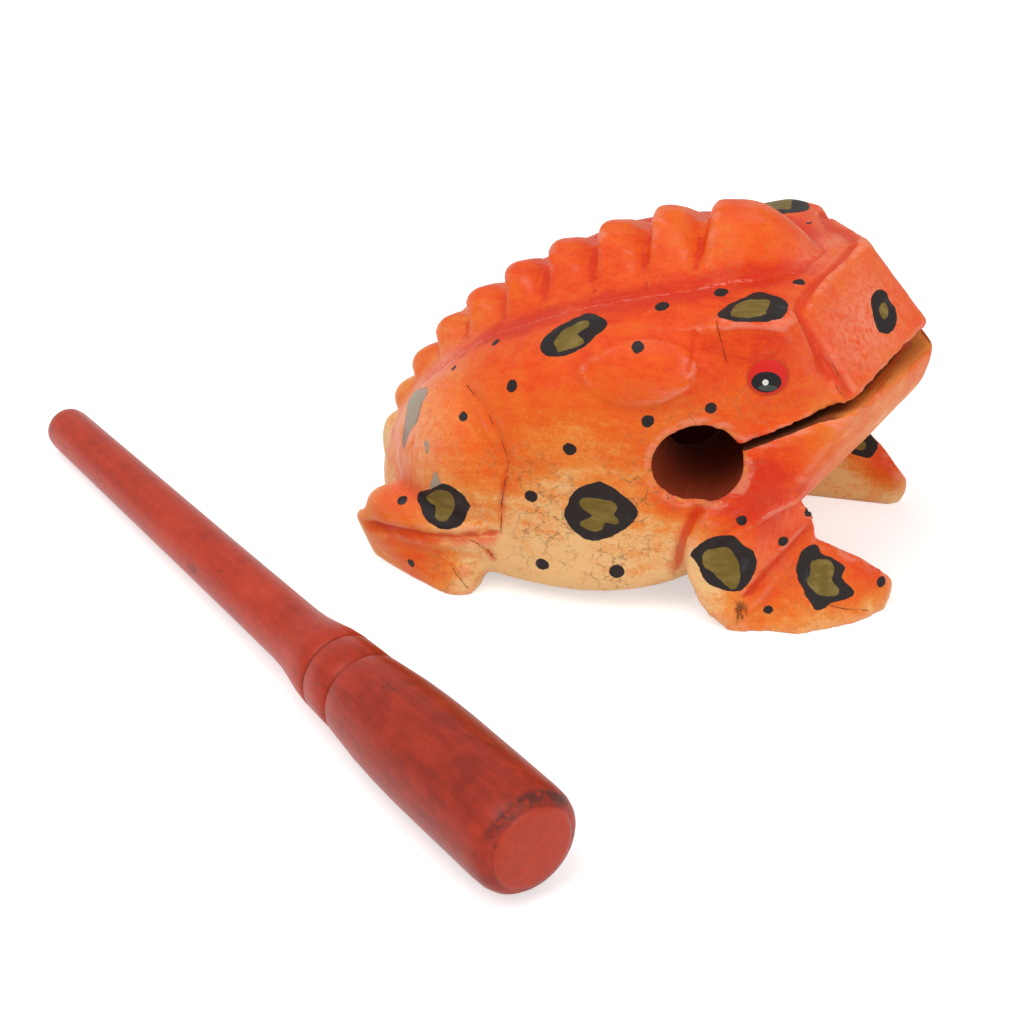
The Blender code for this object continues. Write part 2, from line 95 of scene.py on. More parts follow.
KERF_STEPS = 25
CREST_LINE = ((-46.8, 5.0), (-48.0, 13.0), (-45.0, 22.6), (-41.0, 30.4), (-35.6, 38.2), (-29.0, 44.9),
              (-22.0, 50.4), (-13.4, 55.6), (-5.0, 59.6), (4.4, 63.0), (14.8, 64.7), (20.2, 64.2),
              (26.6, 60.2), (30.0, 56.4))
NOTCHES = 9
FIRST_NOTCH_AT = 15.2
TOOTH_PITCHES = (8.2, 10.8)
RIDGE_FULL_AT = 0.75
NOTCH_DEPTHS = (2.5, 4.7)
NOTCH_REACHES = (11.5, 17.0)
NOTCH_SIDE_FALL = 17.0
NOTCH_OPEN = 6.0
NOTCH_STEEP_RUN = 1.7
NOTCH_STEEP_RISE = 1.2
NOTCH_SLOPE_SHARE = 0.72
NOTCH_SLOPE_RISE = 0.25
NOTCH_SLOPE_BELLY = 0.22

# Knife lines on the right side; the left side gets the same
THIGH_CREASE = ((-26.2, -22.4, 36.6), (-22.8, -26.4, 35.8), (-20.6, -28.4, 33.8), (-18.6, -29.7, 30.9),
                (-17.2, -30.4, 27.6), (-17.4, -30.4, 24.7), (-18.1, -30.4, 20.0), (-18.5, -30.4, 13.1))
HEEL_GROOVE = ((-43.2, -26.2, 8.6), (-40.8, -27.3, 9.4), (-36.3, -30.4, 10.6), (-31.4, -31.7, 11.2),
               (-26.9, -32.1, 11.7), (-23.4, -31.7, 12.3), (-20.1, -30.7, 12.6))
ANKLE_CREASE = ((-23.4, -31.7, 12.3), (-21.5, -31.0, 10.0), (-19.7, -29.9, 7.1))
TOE_CREASE = ((-27.1, -31.4, 6.0), (-24.2, -31.3, 1.8))
ARMPIT_CREASE = ((15.2, -28.0, 21.4), (13.4, -28.4, 16.9), (12.3, -28.6, 12.5), (12.0, -28.3, 8.6))
SHOULDER_EDGE = ((31.3, -26.2, 24.6), (27.8, -28.1, 22.7), (24.0, -28.9, 19.8), (20.1, -30.1, 16.7))
WRIST_EDGE = ((24.8, -30.6, 8.5), (27.8, -29.4, 12.6), (30.8, -27.9, 16.0), (33.8, -26.3, 20.0))
FOOT_CRACK = ((38.5, -26.2, 3.9), (41.0, -24.9, 2.8), (44.3, -22.5, 1.5))
NECK_CRACK = ((12.5, -24.7, 52.0), (12.4, -26.4, 49.2), (12.4, -28.2, 46.9))
CHEEK_CRACK = ((16.1, -24.6, 54.1), (17.0, -25.5, 51.1), (18.1, -25.9, 47.8))
SNOUT_STEP = ((35.2, -1.0, 59.0), (33.3, -6.0, 58.4), (30.6, -10.9, 57.0), (28.9, -17.0, 56.2),
              (28.9, -20.7, 54.9), (31.2, -21.5, 51.5), (34.4, -22.0, 46.4), (37.4, -22.9, 42.9))
SNOUT_CRACK = ((33.2, -22.0, 48.4), (35.4, -22.4, 45.2), (37.2, -23.0, 42.6))
BROW_ROLL = ((32.6, 1.0, 58.4), (30.9, -2.6, 57.2), (28.7, -8.4, 56.8), (27.6, -13.0, 56.6))
FAR_BROW_EDGE = ((20.0, 14.0, 56.6), (26.0, 12.0, 56.8), (31.5, 3.5, 57.8))
BROW_EDGE = ((6.9, -24.5, 51.6), (13.4, -24.6, 52.8), (19.9, -25.2, 54.1), (26.2, -25.0, 54.5), (28.2, -22.0, 55.1))
RIDGE_FOOT = ((-36.5, -11.4, 31.0), (-31.7, -12.0, 35.6), (-24.3, -12.9, 41.7), (-18.6, -14.8, 45.1),
              (-7.9, -16.6, 50.3), (2.2, -16.9, 53.5), (12.0, -15.4, 55.6), (22.0, -11.6, 56.8), (27.4, -7.4, 56.8))
PAD_CENTRE = (3.9, -28.4, 46.2)
PAD_OUTLINE = ((-9.4, 0.6), (-8.0, -3.0), (-4.5, -5.4), (0.2, -6.2), (4.6, -5.4), (8.6, -2.8), (9.6, 0.2),
               (8.4, 2.8), (4.6, 4.6), (0.0, 4.8), (-4.6, 3.6))
PAD_HEIGHT = 0.5
EYE_CENTRE = (24.9, -25.4, 45.7)
EYE_RADIUS = 3.05
EYE_RIM = 0.40
EYE_GROOVE_DEPTH = 0.30
EYE_BULGE = 0.22
SNOUT_STEP_DEPTH = 0.55

solid_low, solid_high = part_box("frog_body")
frog_origin = Vector((solid_high.x - JAW_REACH * MM, (solid_low.y + solid_high.y) / 2, solid_low.z))


def in_place(point):
    """A point of the frog's own frame, in mm, where the frog stands in the set."""
    return frog_origin + Vector(point) * MM


def curve_through(points, steps, closed=False):
    """Points of a smooth curve through the given ones."""
    points = [np.array(point, dtype=float) for point in points]
    count = len(points)
    curve = []
    for i in range(count if closed else count - 1):
        if closed:
            before, start, end, after = (points[(i + k) % count] for k in (-1, 0, 1, 2))
        else:
            before, start, end, after = (points[min(max(i + k, 0), count - 1)] for k in (-1, 0, 1, 2))
        for t in np.arange(steps) / steps:
            curve.append(0.5 * (2 * start + (end - before) * t
                                + (2 * before - 5 * start + 4 * end - after) * t * t
                                + (3 * start - before - 3 * end + after) * t ** 3))
    if not closed:
        curve.append(points[-1])
    return np.array(curve)


bpy.ops.object.select_all(action='DESELECT')
frog = frame["nodes"]["frog_body"].copy()
frog.data = frame["nodes"]["frog_body"].data.copy()
frog.name = "frog_skin"
frog.data.name = "frog_skin"
frog.parent = None
frog.matrix_world = Matrix.Identity(4)
frog.data.materials.clear()
bpy.context.scene.collection.objects.link(frog)
frog.select_set(True)
bpy.context.view_layer.objects.active = frog
bpy.ops.object.mode_set(mode='EDIT')
bpy.ops.mesh.select_all(action='SELECT')
bpy.ops.mesh.remove_doubles(threshold=WELD_DISTANCE * MM)
bpy.ops.object.mode_set(mode='OBJECT')
carved_block = bpy.data.objects.new("carved block", frog.data.copy())
bpy.context.scene.collection.objects.link(carved_block)
fine_skin = frog.modifiers.new("fine skin", 'REMESH')
fine_skin.mode = 'VOXEL'
fine_skin.voxel_size = SKIN_GRAIN * MM
bpy.ops.object.modifier_apply(modifier=fine_skin.name)


def skin_points():
    """The skin's points in the frog's own frame, in mm, and its outward normals."""
    count = len(frog.data.vertices)
    points = np.empty(count * 3)
    normals = np.empty(count * 3)
    frog.data.vertices.foreach_get("co", points)
    frog.data.vertex_normals.foreach_get("vector", normals)
    return (points.reshape(-1, 3) - np.array(frog_origin)) / MM, normals.reshape(-1, 3)


def set_skin_points(points):
    frog.data.vertices.foreach_set("co", (points * MM + np.array(frog_origin)).ravel())
    frog.data.update()


def skin_edges():
    edges = np.empty(len(frog.data.edges) * 2, dtype=np.int64)
    frog.data.edges.foreach_get("vertices", edges)
    return edges.reshape(-1, 2)


def rubbed_smooth(values, edges, rounds, strength=0.6):
    """Every value drawn towards the mean of its neighbours, round after round."""
    neighbours = np.maximum(np.bincount(edges.ravel(), minlength=len(values)), 1)[:, None]
    values = values.copy()
    for _ in range(rounds):
        total = np.zeros_like(values)
        for axis in range(values.shape[1]):
            total[:, axis] = (np.bincount(edges[:, 0], values[edges[:, 1], axis], len(values))
                              + np.bincount(edges[:, 1], values[edges[:, 0], axis], len(values)))
        values += strength * (total / neighbours - values)
    return values


def soft_step(values, start, end):
    share = np.clip((values - start) / (end - start), 0, 1)
    return share * share * (3 - 2 * share)


def line_distance(points, line):
    """Distance of each point from a line of straight runs."""
    nearest = np.full(len(points), 1e9)
    for start, end in zip(line[:-1], line[1:]):
        run = end - start
        share = np.clip(((points - start) @ run) / max(run @ run, 1e-12), 0, 1)
        nearest = np.minimum(nearest, np.linalg.norm(points - start - share[:, None] * run, axis=1))
    return nearest


def on_right_side(points, normals):
    """Points and normals brought to the right side, so that one list of marks serves both."""
    flip = np.where(points[:, 1:2] > 0, (1, -1, 1), (1, 1, 1))
    return points * flip, normals * flip


def skin_tree():
    return BVHTree.FromPolygons([Vector(point) for point in skin_points()[0]],
                                [list(face.vertices) for face in frog.data.polygons])


def beside_line(points, normals, tree, line, reach=4.0):
    """Distance from a line laid on the skin, in mm, and the same with a sign: positive on its right."""
    laid = np.array([tree.find_nearest(Vector(point))[0] for point in curve_through(line, 6)])
    distance = np.full(len(points), reach)
    signed = np.full(len(points), reach)
    near = np.flatnonzero(((points > laid.min(axis=0) - reach) & (points < laid.max(axis=0) + reach)).all(axis=1))
    best = np.full(len(near), 1e9)
    side = np.ones(len(near))
    for start, end in zip(laid[:-1], laid[1:]):
        run = end - start
        share = np.clip(((points[near] - start) @ run) / max(run @ run, 1e-12), 0, 1)
        away = points[near] - start - share[:, None] * run
        reached = np.linalg.norm(away, axis=1)
        closer = reached < best
        best = np.where(closer, reached, best)
        hand = (np.cross(run, away) * normals[near]).sum(axis=1)
        side = np.where(closer, np.where(hand > 0, -1.0, 1.0), side)
    distance[near] = np.minimum(best, reach)
    signed[near] = np.clip(best * side, -reach, reach)
    return distance, signed


points, normals = skin_points()
edges = skin_edges()
points = rubbed_smooth(points, edges, SANDING_ROUNDS)
below_lip = np.interp(points[:, 0], *np.array(LIP_LINE).T) - points[:, 2]
on_jaw = (soft_step(points[:, 0], *JAW_BEGINS) * soft_step(below_lip, -0.5, 1.0) * (points[:, 2] > JAW_ABOVE))[:, None]
points += on_jaw * (rubbed_smooth(points, edges, JAW_SANDING_ROUNDS) - points)
sharper = points - rubbed_smooth(points, edges, EDGE_ROUNDS)
sharper_by = np.linalg.norm(sharper, axis=1, keepdims=True)
points += EDGE_SHARPENING * sharper * np.minimum(1, EDGE_SHARPENING_LIMIT / np.maximum(sharper_by, 1e-6))
set_skin_points(points)
points, normals = skin_points()
halved, halved_normals = on_right_side(points, normals)
sanded_tree = skin_tree()
push = np.zeros(len(points))


def score_line(line, half_width, depth, one_bank_lower=0.0):
    """A knife cut along the line, or a rise where the depth is negative; one bank may stay lower."""
    distance, signed = beside_line(halved, halved_normals, sanded_tree, line)
    push[:] -= depth * soft_step(distance, half_width, 0.0)
    push[:] -= one_bank_lower * soft_step(signed, -0.25, 0.25) * soft_step(distance, 3.4, 0.6)


score_line(THIGH_CREASE, 1.5, 0.35)
score_line(HEEL_GROOVE, 1.8, 1.15)
score_line(ANKLE_CREASE, 0.9, 0.35)
score_line(TOE_CREASE, 0.8, 0.3)
score_line(ARMPIT_CREASE, 1.3, 0.5)
score_line(SHOULDER_EDGE, 1.2, -0.30, one_bank_lower=0.5)
score_line(WRIST_EDGE, 0.9, -0.15, one_bank_lower=0.95)
score_line(FOOT_CRACK, 0.7, 0.3)
score_line(NECK_CRACK, 0.9, 0.25)
score_line(CHEEK_CRACK, 0.9, 0.25)
score_line(SNOUT_CRACK, 0.7, 0.25)
score_line(BROW_ROLL, 1.4, -0.4)
score_line(FAR_BROW_EDGE, 0.9, -0.2)
score_line(BROW_EDGE, 1.2, -0.22)
score_line(RIDGE_FOOT, 1.1, 0.25)
step_distance, step_side = beside_line(halved, halved_normals, sanded_tree, SNOUT_STEP)
push -= SNOUT_STEP_DEPTH * soft_step(step_side, 1.05, 0.6) * soft_step(step_side, -1.5, -0.3) * (step_distance < 3.9)

# The painter looks from in front of the right shoulder and above; outlines are flat, in mm
PAINTER_AZIMUTH = 13.0
PAINTER_ELEVATION = 31.0
azimuth, elevation = radians(PAINTER_AZIMUTH), radians(PAINTER_ELEVATION)
painter_right = np.array((cos(azimuth), sin(azimuth), 0.0))
painter_back = np.array((sin(azimuth) * cos(elevation), -cos(azimuth) * cos(elevation), sin(elevation)))
painter_up = np.cross(painter_back, painter_right)


def depth_inside(flat, outline):
    """How far each flat point is inside the outline, in mm; negative outside."""
    curve = curve_through(outline, 5, closed=True)
    distance = line_distance(flat, np.vstack((curve, curve[:1])))
    crossings = np.zeros(len(flat), dtype=int)
    for start, end in zip(curve, np.roll(curve, -1, axis=0)):
        spans = (start[1] > flat[:, 1]) != (end[1] > flat[:, 1])
        rise = end[1] - start[1] if end[1] != start[1] else 1e-9
        crossings += spans & (flat[:, 0] < start[0] + (flat[:, 1] - start[1]) * (end[0] - start[0]) / rise)
    return np.where(crossings % 2 == 1, distance, -distance)


def stencil(points, normals, centre, outline, tilt=0.0):
    """Depth inside an outline that is laid on the skin as the painter sees it."""
    seen = points - np.array(centre)
    flat = np.column_stack((seen @ painter_right, seen @ painter_up))
    flat = np.column_stack((flat[:, 0] * cos(tilt) + flat[:, 1] * sin(tilt),
                            -flat[:, 0] * sin(tilt) + flat[:, 1] * cos(tilt)))
    size = np.abs(np.array(outline)).max() + 3.0
    near = ((np.abs(seen @ painter_back) < size + 2.0) & (np.abs(flat).max(axis=1) < size)
            & (normals @ painter_back > 0.03))
    field = np.full(len(points), -3.0)
    field[near] = np.maximum(depth_inside(flat[near], outline), -3.0)
    return field


push += PAD_HEIGHT * soft_step(stencil(halved, halved_normals, PAD_CENTRE, PAD_OUTLINE), -0.5, 0.9)
eye_distance = np.linalg.norm(halved - EYE_CENTRE, axis=1)
push -= EYE_GROOVE_DEPTH * np.exp(-((eye_distance - EYE_RADIUS - EYE_RIM) / 0.4) ** 2)
push += EYE_BULGE * soft_step(eye_distance, EYE_RADIUS + 0.1, 1.2)
box_low, box_high = ((np.array(corner) - np.array(frog_origin)) / MM for corner in (solid_low, solid_high))
set_skin_points(np.clip(points + normals * push[:, None], box_low + 0.02, box_high - 0.02))


tools = bpy.data.collections.new("tools")
bpy.context.scene.collection.children.link(tools)


def cutting_tool(name, rings):
    """A closed tool from rings of the same number of points, in the frog's own frame."""
    bm = bmesh.new()
    loops = [[bm.verts.new(in_place(point)) for point in ring] for ring in rings]
    for near, far in zip(loops, loops[1:]):
        for i in range(len(near)):
            j = (i + 1) % len(near)
            bm.faces.new((near[i], near[j], far[j], far[i]))
    bm.faces.new(loops[0])
    bm.faces.new(loops[-1])
    bmesh.ops.recalc_face_normals(bm, faces=bm.faces[:])
    mesh = bpy.data.meshes.new(name)
    bm.to_mesh(mesh)
    bm.free()
    tool = bpy.data.objects.new(name, mesh)
    tool.data.materials.append(bpy.data.materials.new(name))
    tools.objects.link(tool)
    return tool


def spare_the_wood(tool):
    """The tool takes away only what lies outside the carved block."""
    bpy.ops.object.select_all(action='DESELECT')
    tool.select_set(True)
    bpy.context.view_layer.objects.active = tool
    spared = tool.modifiers.new("spared wood", 'BOOLEAN')
    spared.operation = 'DIFFERENCE'
    spared.solver = 'MANIFOLD'
    spared.object = carved_block
    bpy.ops.object.modifier_apply(modifier=spared.name)


crest = curve_through(CREST_LINE, 6)
crest_runs = np.concatenate(((0.0,), np.cumsum(np.linalg.norm(np.diff(crest, axis=0), axis=1))))
notch_at = FIRST_NOTCH_AT
for i in range(NOTCHES):
    share = i / (NOTCHES - 1)
    pitch = TOOTH_PITCHES[0] + (TOOTH_PITCHES[1] - TOOTH_PITCHES[0]) * share
    centre, tail_end, head_end = (np.array([np.interp(notch_at + by, crest_runs, crest[:, axis]) for axis in (0, 1)])
                                  for by in (0.0, -1.5, 1.5))
    ahead = (head_end - tail_end) / np.linalg.norm(head_end - tail_end)
    outward = np.array((-ahead[1], ahead[0]))
    depth = np.interp(share, (0.0, RIDGE_FULL_AT), NOTCH_DEPTHS)
    half_width = np.interp(share, (0.0, RIDGE_FULL_AT), NOTCH_REACHES)
    slope_run = pitch * NOTCH_SLOPE_SHARE
    profile = ((0.0, -depth), (NOTCH_STEEP_RUN, NOTCH_STEEP_RISE), (0.6 * NOTCH_STEEP_RUN, NOTCH_OPEN),
               (-1.25 * slope_run, NOTCH_OPEN), (-slope_run, NOTCH_SLOPE_RISE),
               (-0.5 * slope_run, -NOTCH_SLOPE_BELLY * depth))
    rings = []
    for side in (-1, 0, 1):
        fall = half_width * tan(radians(NOTCH_SIDE_FALL)) * abs(side)
        places = [centre + ahead * along + outward * (out - fall) for along, out in profile]
        rings.append([(place[0], half_width * side, place[1]) for place in places])
    spare_the_wood(cutting_tool("notch", rings))
    notch_at += pitch
bpy.data.objects.remove(carved_block, do_unlink=True)

lip_curve = curve_through(LIP_LINE, 4)
kerf_x, kerf_height = np.array(KERF_HEIGHTS).T
rings = []
for half_width, front in KERF_FRONTS:
    along = np.linspace(LIP_LINE[0][0], front, KERF_STEPS)
    upper = np.interp(along, lip_curve[:, 0], lip_curve[:, 1])
    lower = upper - np.interp(along, kerf_x, kerf_height) - KERF_EASE
    rings.append([(x, half_width, z + KERF_EASE) for x, z in zip(along, upper)]
                 + [(x, half_width, z) for x, z in zip(along[::-1], lower[::-1])])
cutting_tool("mouth", rings)
turns = np.arange(BORE_SIDES) * 2 * pi / BORE_SIDES
rings = [[(BORE_AXIS[0] + BORE_HALF_SIZE[0] * cos(turn), y, BORE_AXIS[1] + BORE_HALF_SIZE[1] * sin(turn))
          for turn in turns] for y in (-0.5 * BORE_LENGTH, 0.5 * BORE_LENGTH)]
cutting_tool("bore", rings)
bpy.ops.object.select_all(action='DESELECT')
frog.select_set(True)
bpy.context.view_layer.objects.active = frog
cuts = frog.modifiers.new("cuts", 'BOOLEAN')
cuts.operation = 'DIFFERENCE'
cuts.solver = 'MANIFOLD'
cuts.material_mode = 'TRANSFER'
cuts.operand_type = 'COLLECTION'
cuts.collection = tools
bpy.ops.object.modifier_apply(modifier=cuts.name)
for tool in list(tools.objects):
    bpy.data.objects.remove(tool, do_unlink=True)
bpy.data.collections.remove(tools)

cut_names = [material.name.split(".")[0] if material else "" for material in frog.data.materials]
cut_of_face = np.empty(len(frog.data.polygons), dtype=np.int32)
frog.data.polygons.foreach_get("material_index", cut_of_face)
for mark in ("mouth", "bore"):
    marked = np.isin(cut_of_face, [i for i, name in enumerate(cut_names) if name == mark])
    field = frog.data.attributes.new(mark, 'FLOAT', 'FACE')
    field.data.foreach_set("value", marked.astype(np.float32))
frog.data.polygons.foreach_set("material_index", np.zeros(len(frog.data.polygons), dtype=np.int32))
frog.data.materials.clear()
bpy.ops.object.select_all(action='DESELECT')
frog.select_set(True)
bpy.context.view_layer.objects.active = frog
bpy.ops.object.shade_smooth_by_angle(angle=radians(CRISP_ANGLE))

# Painted marks: a charcoal ring with an olive middle, outlines in mm round each centre
BLOTS = {
    "back": ((-7.3, -23.4, 48.8),
             ((-5.7, -1.6), (-4.0, 0.8), (-0.6, 2.6), (2.1, 3.7), (4.6, 2.6), (5.2, 1.3), (3.5, -0.4),
              (1.1, -2.4), (-2.3, -3.7), (-4.9, -3.3)),
             ((2.2, 2.3), (2.1, 1.3), (0.5, 0.2), (0.6, -0.4), (1.6, -1.5), (-1.3, -2.6), (-3.1, -3.0),
              (-2.9, -2.3), (-3.5, -1.5), (-2.3, 0.6), (-0.3, 1.7), (1.1, 2.3))),
    "flank": ((-0.8, -31.4, 20.4),
              ((-6.1, 0.1), (-4.3, 3.5), (-1.3, 4.8), (0.4, 4.8), (3.5, 2.8), (6.1, 0.0), (4.5, -2.6),
               (0.6, -4.7), (-3.0, -4.5), (-5.7, -1.6)),
              ((-3.6, 1.9), (-2.5, 2.3), (0.9, 1.9), (2.1, 1.4), (2.7, 0.6), (2.2, -0.6), (2.9, -1.4),
               (2.8, -2.2), (0.9, -2.0), (0.1, -2.2), (0.6, -2.8), (0.1, -3.2), (-1.3, -3.3), (-2.8, -2.8),
               (-3.5, -1.8), (-1.5, -0.8), (-2.3, -0.1), (-3.4, 0.8))),
    "neck": ((21.4, -21.9, 56.2),
             ((-5.6, -1.1), (-3.5, 0.7), (-1.3, 1.7), (0.9, 2.8), (2.6, 2.5), (5.2, 1.4), (5.7, -0.1),
              (4.0, -2.2), (-1.1, -2.7), (-4.7, -2.0)),
             ((-3.6, -1.2), (-2.3, 0.6), (-0.3, 1.3), (2.7, 1.2), (2.6, 0.2), (1.8, -0.9), (1.8, -1.4),
              (-1.1, -2.0), (-2.8, -1.8))),
    "nostril": ((41.6, -6.7, 50.6),
                ((-2.4, 0.7), (-2.2, 2.3), (-1.3, 3.4), (-0.1, 3.5), (0.8, 3.1), (1.2, 1.8), (2.2, 0.6),
                 (2.4, -0.9), (2.0, -2.6), (0.9, -3.8), (-0.6, -3.9), (-1.7, -2.9)),
                ((-1.0, 0.0), (-0.6, 1.1), (-0.1, 1.4), (0.5, 1.0), (0.8, 0.0), (0.6, -1.1), (-0.1, -1.5),
                 (-0.7, -1.0))),
    "thigh": ((-28.6, -30.0, 17.8),
              ((-4.5, 0.9), (-4.0, 1.8), (-1.9, 2.2), (0.1, 3.1), (2.6, 1.9), (4.7, -0.4), (4.4, -1.6),
               (3.3, -3.8), (1.8, -4.6), (-0.1, -4.7), (-2.8, -3.3), (-4.2, -0.4)),
              ((-2.9, 0.6), (-2.3, 1.3), (-1.1, 1.9), (0.4, 1.9), (1.6, 1.3), (2.1, 0.1), (1.8, -1.4),
               (0.6, -3.3), (-0.6, -3.3), (-1.3, -2.6), (-1.2, -0.8), (-2.0, -0.3))),
    "arm": ((20.1, -30.8, 12.9),
            ((-5.5, 1.4), (-3.5, 3.5), (-1.8, 4.3), (0.1, 4.6), (1.8, 4.3), (3.8, 2.5), (5.0, 1.9),
             (5.5, 0.3), (5.4, -1.4), (4.7, -3.1), (2.6, -5.0), (-1.1, -4.3), (-3.0, -2.8), (-4.6, 0.2)),
            ((-3.5, 0.7), (-3.0, 1.9), (-1.5, 2.4), (0.6, 2.5), (1.8, 1.4), (2.7, -0.4), (2.9, -2.6),
             (2.4, -4.3), (1.8, -4.7), (0.6, -4.0), (-1.8, -1.6), (-3.0, -0.9))),
    "foot": ((36.7, -25.7, 9.2),
             ((-4.9, 1.9), (-4.0, 4.5), (-2.8, 5.4), (-1.5, 5.5), (-0.5, 4.0), (0.9, 3.4), (3.7, 1.8),
              (3.3, -0.1), (5.2, -2.1), (5.6, -2.6), (5.0, -3.5), (1.6, -4.5), (0.1, -5.4), (-1.3, -5.7),
              (-2.8, -3.5), (-4.2, -0.9), (-4.6, 0.1)),
             ((-2.5, 2.0), (-2.0, 2.8), (-0.6, 3.1), (0.9, 2.8), (1.8, 1.3), (1.4, -0.4), (2.7, -2.0),
              (2.7, -2.8), (1.8, -3.3), (0.1, -3.3), (-1.5, -2.6), (-2.9, -0.9), (-2.4, 0.6))),
}
LEFT_SHIFTS = {"back": (4.0, -1.5, 0.3), "flank": (-6.5, 1.0, 2.6), "neck": (-1.0, 0.5, 0.0),
               "nostril": (0.0, 0.0, 0.0), "thigh": (1.5, 1.5, 2.8), "arm": (0.8, -0.6, 0.5),
               "foot": (-0.8, 0.2, 0.2)}
FAR_MARKS = (((20.3, 19.4, 56.3),
              ((-3.4, -0.6), (-2.2, 1.0), (0.2, 1.5), (2.9, 1.3), (3.2, 0.2), (1.8, -0.9), (-1.6, -1.2)),
              ((-1.4, -0.3), (-0.6, 0.8), (0.8, 0.8), (0.9, -0.3), (-0.4, -0.6))),
             ((39.1, 19.2, 10.1),
              ((-2.8, 0.2), (-0.6, 2.4), (1.4, 2.6), (3.0, 0.6), (1.6, -1.8), (-1.4, -1.4)),
              ((-1.7, 0.2), (-0.4, 1.4), (0.8, 0.6), (0.2, -0.6))))
DOTS = ((-22.3, -16.8, 42.5, 0.9), (-29.9, -16.1, 36.3, 0.6), (-17.1, -27.2, 40.0, 1.1), (-25.7, -26.5, 32.9, 0.85),
        (6.3, -29.9, 37.6, 1.1), (-6.3, -31.5, 31.7, 1.15), (-12.9, -31.1, 21.6, 1.15), (-10.8, -31.4, 8.5, 1.2),
        (2.1, -30.9, 8.6, 1.35), (-36.5, -27.7, 15.7, 0.95), (-34.8, -29.2, 3.9, 0.85), (3.9, -27.4, 49.5, 1.2),
        (6.4, -20.0, 53.8, 1.2), (15.5, -16.7, 55.7, 1.2), (27.7, -12.4, 56.7, 1.0), (16.2, -27.2, 39.9, 1.0),
        (22.6, -29.1, 20.3, 1.0), (29.6, -28.3, 16.9, 0.9), (33.3, -26.2, 21.8, 0.8), (28.1, -30.1, 4.2, 0.85),
        (46.1, -19.4, 5.7, 1.0))
RUMP_STREAK = ((-35.8, -22.7, 29.8),
               ((-0.8, 2.5), (-0.3, 4.0), (0.6, 4.6), (2.1, 4.9), (2.8, 4.8), (2.6, 3.5), (1.8, 1.8), (1.1, -0.9),
                (-0.1, -2.6), (-1.1, -4.7), (-1.5, -5.8), (-1.7, -4.3), (-1.3, -0.9)))
THIGH_PEAK = ((-28.6, -30.0, 17.8), ((-1.3, 5.3), (-1.8, 4.0), (-2.2, 2.3), (-1.0, 1.6), (0.2, 2.2), (-0.4, 3.6)))
SHANK_CHIP = ((-31.8, -27.9, 27.1), ((-0.35, 1.2), (0.3, 1.0), (0.35, -0.8), (-0.1, -1.3), (-0.4, 0.0)))
LEFT = (1, -1, 1)

points, normals = skin_points()
charcoal = np.full(len(points), -3.0)
olive = np.full(len(points), -3.0)
for name, (centre, outer, inner) in BLOTS.items():
    along, higher, tilt = LEFT_SHIFTS[name]
    left_centre = (centre[0] + along, centre[1], centre[2] + higher)
    charcoal = np.maximum(charcoal, stencil(points, normals, centre, outer))
    olive = np.maximum(olive, stencil(points, normals, centre, inner))
    charcoal = np.maximum(charcoal, stencil(points * LEFT, normals * LEFT, left_centre, outer, tilt))
    olive = np.maximum(olive, stencil(points * LEFT, normals * LEFT, left_centre, inner, tilt))
for centre, outer, inner in FAR_MARKS:
    charcoal = np.maximum(charcoal, stencil(points, normals, centre, outer))
    olive = np.maximum(olive, stencil(points, normals, centre, inner))
for x, y, z, radius in DOTS:
    for side in (-1, 1):
        slide = 0.0 if side < 0 else 1.6 * sin(7.0 * x)
        centre = np.array((x + slide, side * abs(y), z - 0.7 * slide))
        charcoal = np.maximum(charcoal, radius - np.linalg.norm(points - centre, axis=1))
ash = np.maximum(stencil(points, normals, *RUMP_STREAK), stencil(points, normals, *THIGH_PEAK))
ash = np.maximum(ash, stencil(points, normals, *SHANK_CHIP))


def keep_on_skin(name, values):
    field = frog.data.attributes.new(name, 'FLOAT', 'POINT')
    field.data.foreach_set("value", values.astype(np.float32))


keep_on_skin("charcoal", charcoal)
keep_on_skin("olive", olive)
keep_on_skin("ash", ash)

# How red the ground coat is and where it is rubbed pale or carries a painted pink sheen, by place: centre, reach and
# amount
RED_BY_HEIGHT = ((2, 8, 16, 24, 34, 42, 52, 60), (0.0, 0.0, 0.12, 0.28, 0.45, 0.60, 0.76, 0.62))
REDDER = (((24.0, -24.0, 46.0), 15.0, 0.10), ((24.0, -28.0, 24.0), 9.0, 0.55), ((32.0, -25.0, 14.0), 11.0, 0.50),
          ((40.0, -22.0, 8.0), 8.0, 0.46), ((26.0, -30.0, 6.0), 7.0, 0.34), ((-30.0, -30.0, 6.0), 8.0, 0.28),
          ((-38.0, -27.0, 5.0), 8.0, 0.36), ((-38.0, -26.0, 14.0), 8.0, 0.35), ((-21.0, -28.0, 27.0), 6.0, 0.28),
          ((-23.0, -29.0, 20.0), 5.0, 0.12), ((3.0, -28.0, 45.0), 8.0, -0.08), ((-10.0, -29.0, 40.0), 8.0, 0.06),
          ((15.0, -29.0, 10.0), 5.0, -0.22), ((10.0, -30.0, 24.0), 3.4, 0.30), ((36.0, -21.0, 38.0), 7.0, -0.16),
          ((44.0, -10.0, 38.0), 8.0, -0.22), ((18.0, -26.0, 26.0), 7.0, 0.36),
          ((26.0, -26.0, 31.0), 6.0, 0.14), ((45.0, -18.5, 8.0), 4.0, 0.60),
          # The last entry is painted light: it makes the inner side of the front feet paler, where the body shades the
          # far foot
          ((-45.0, -14.0, 22.0), 8.0, 0.34), ((37.0, -16.5, 6.0), 4.5, -0.30))
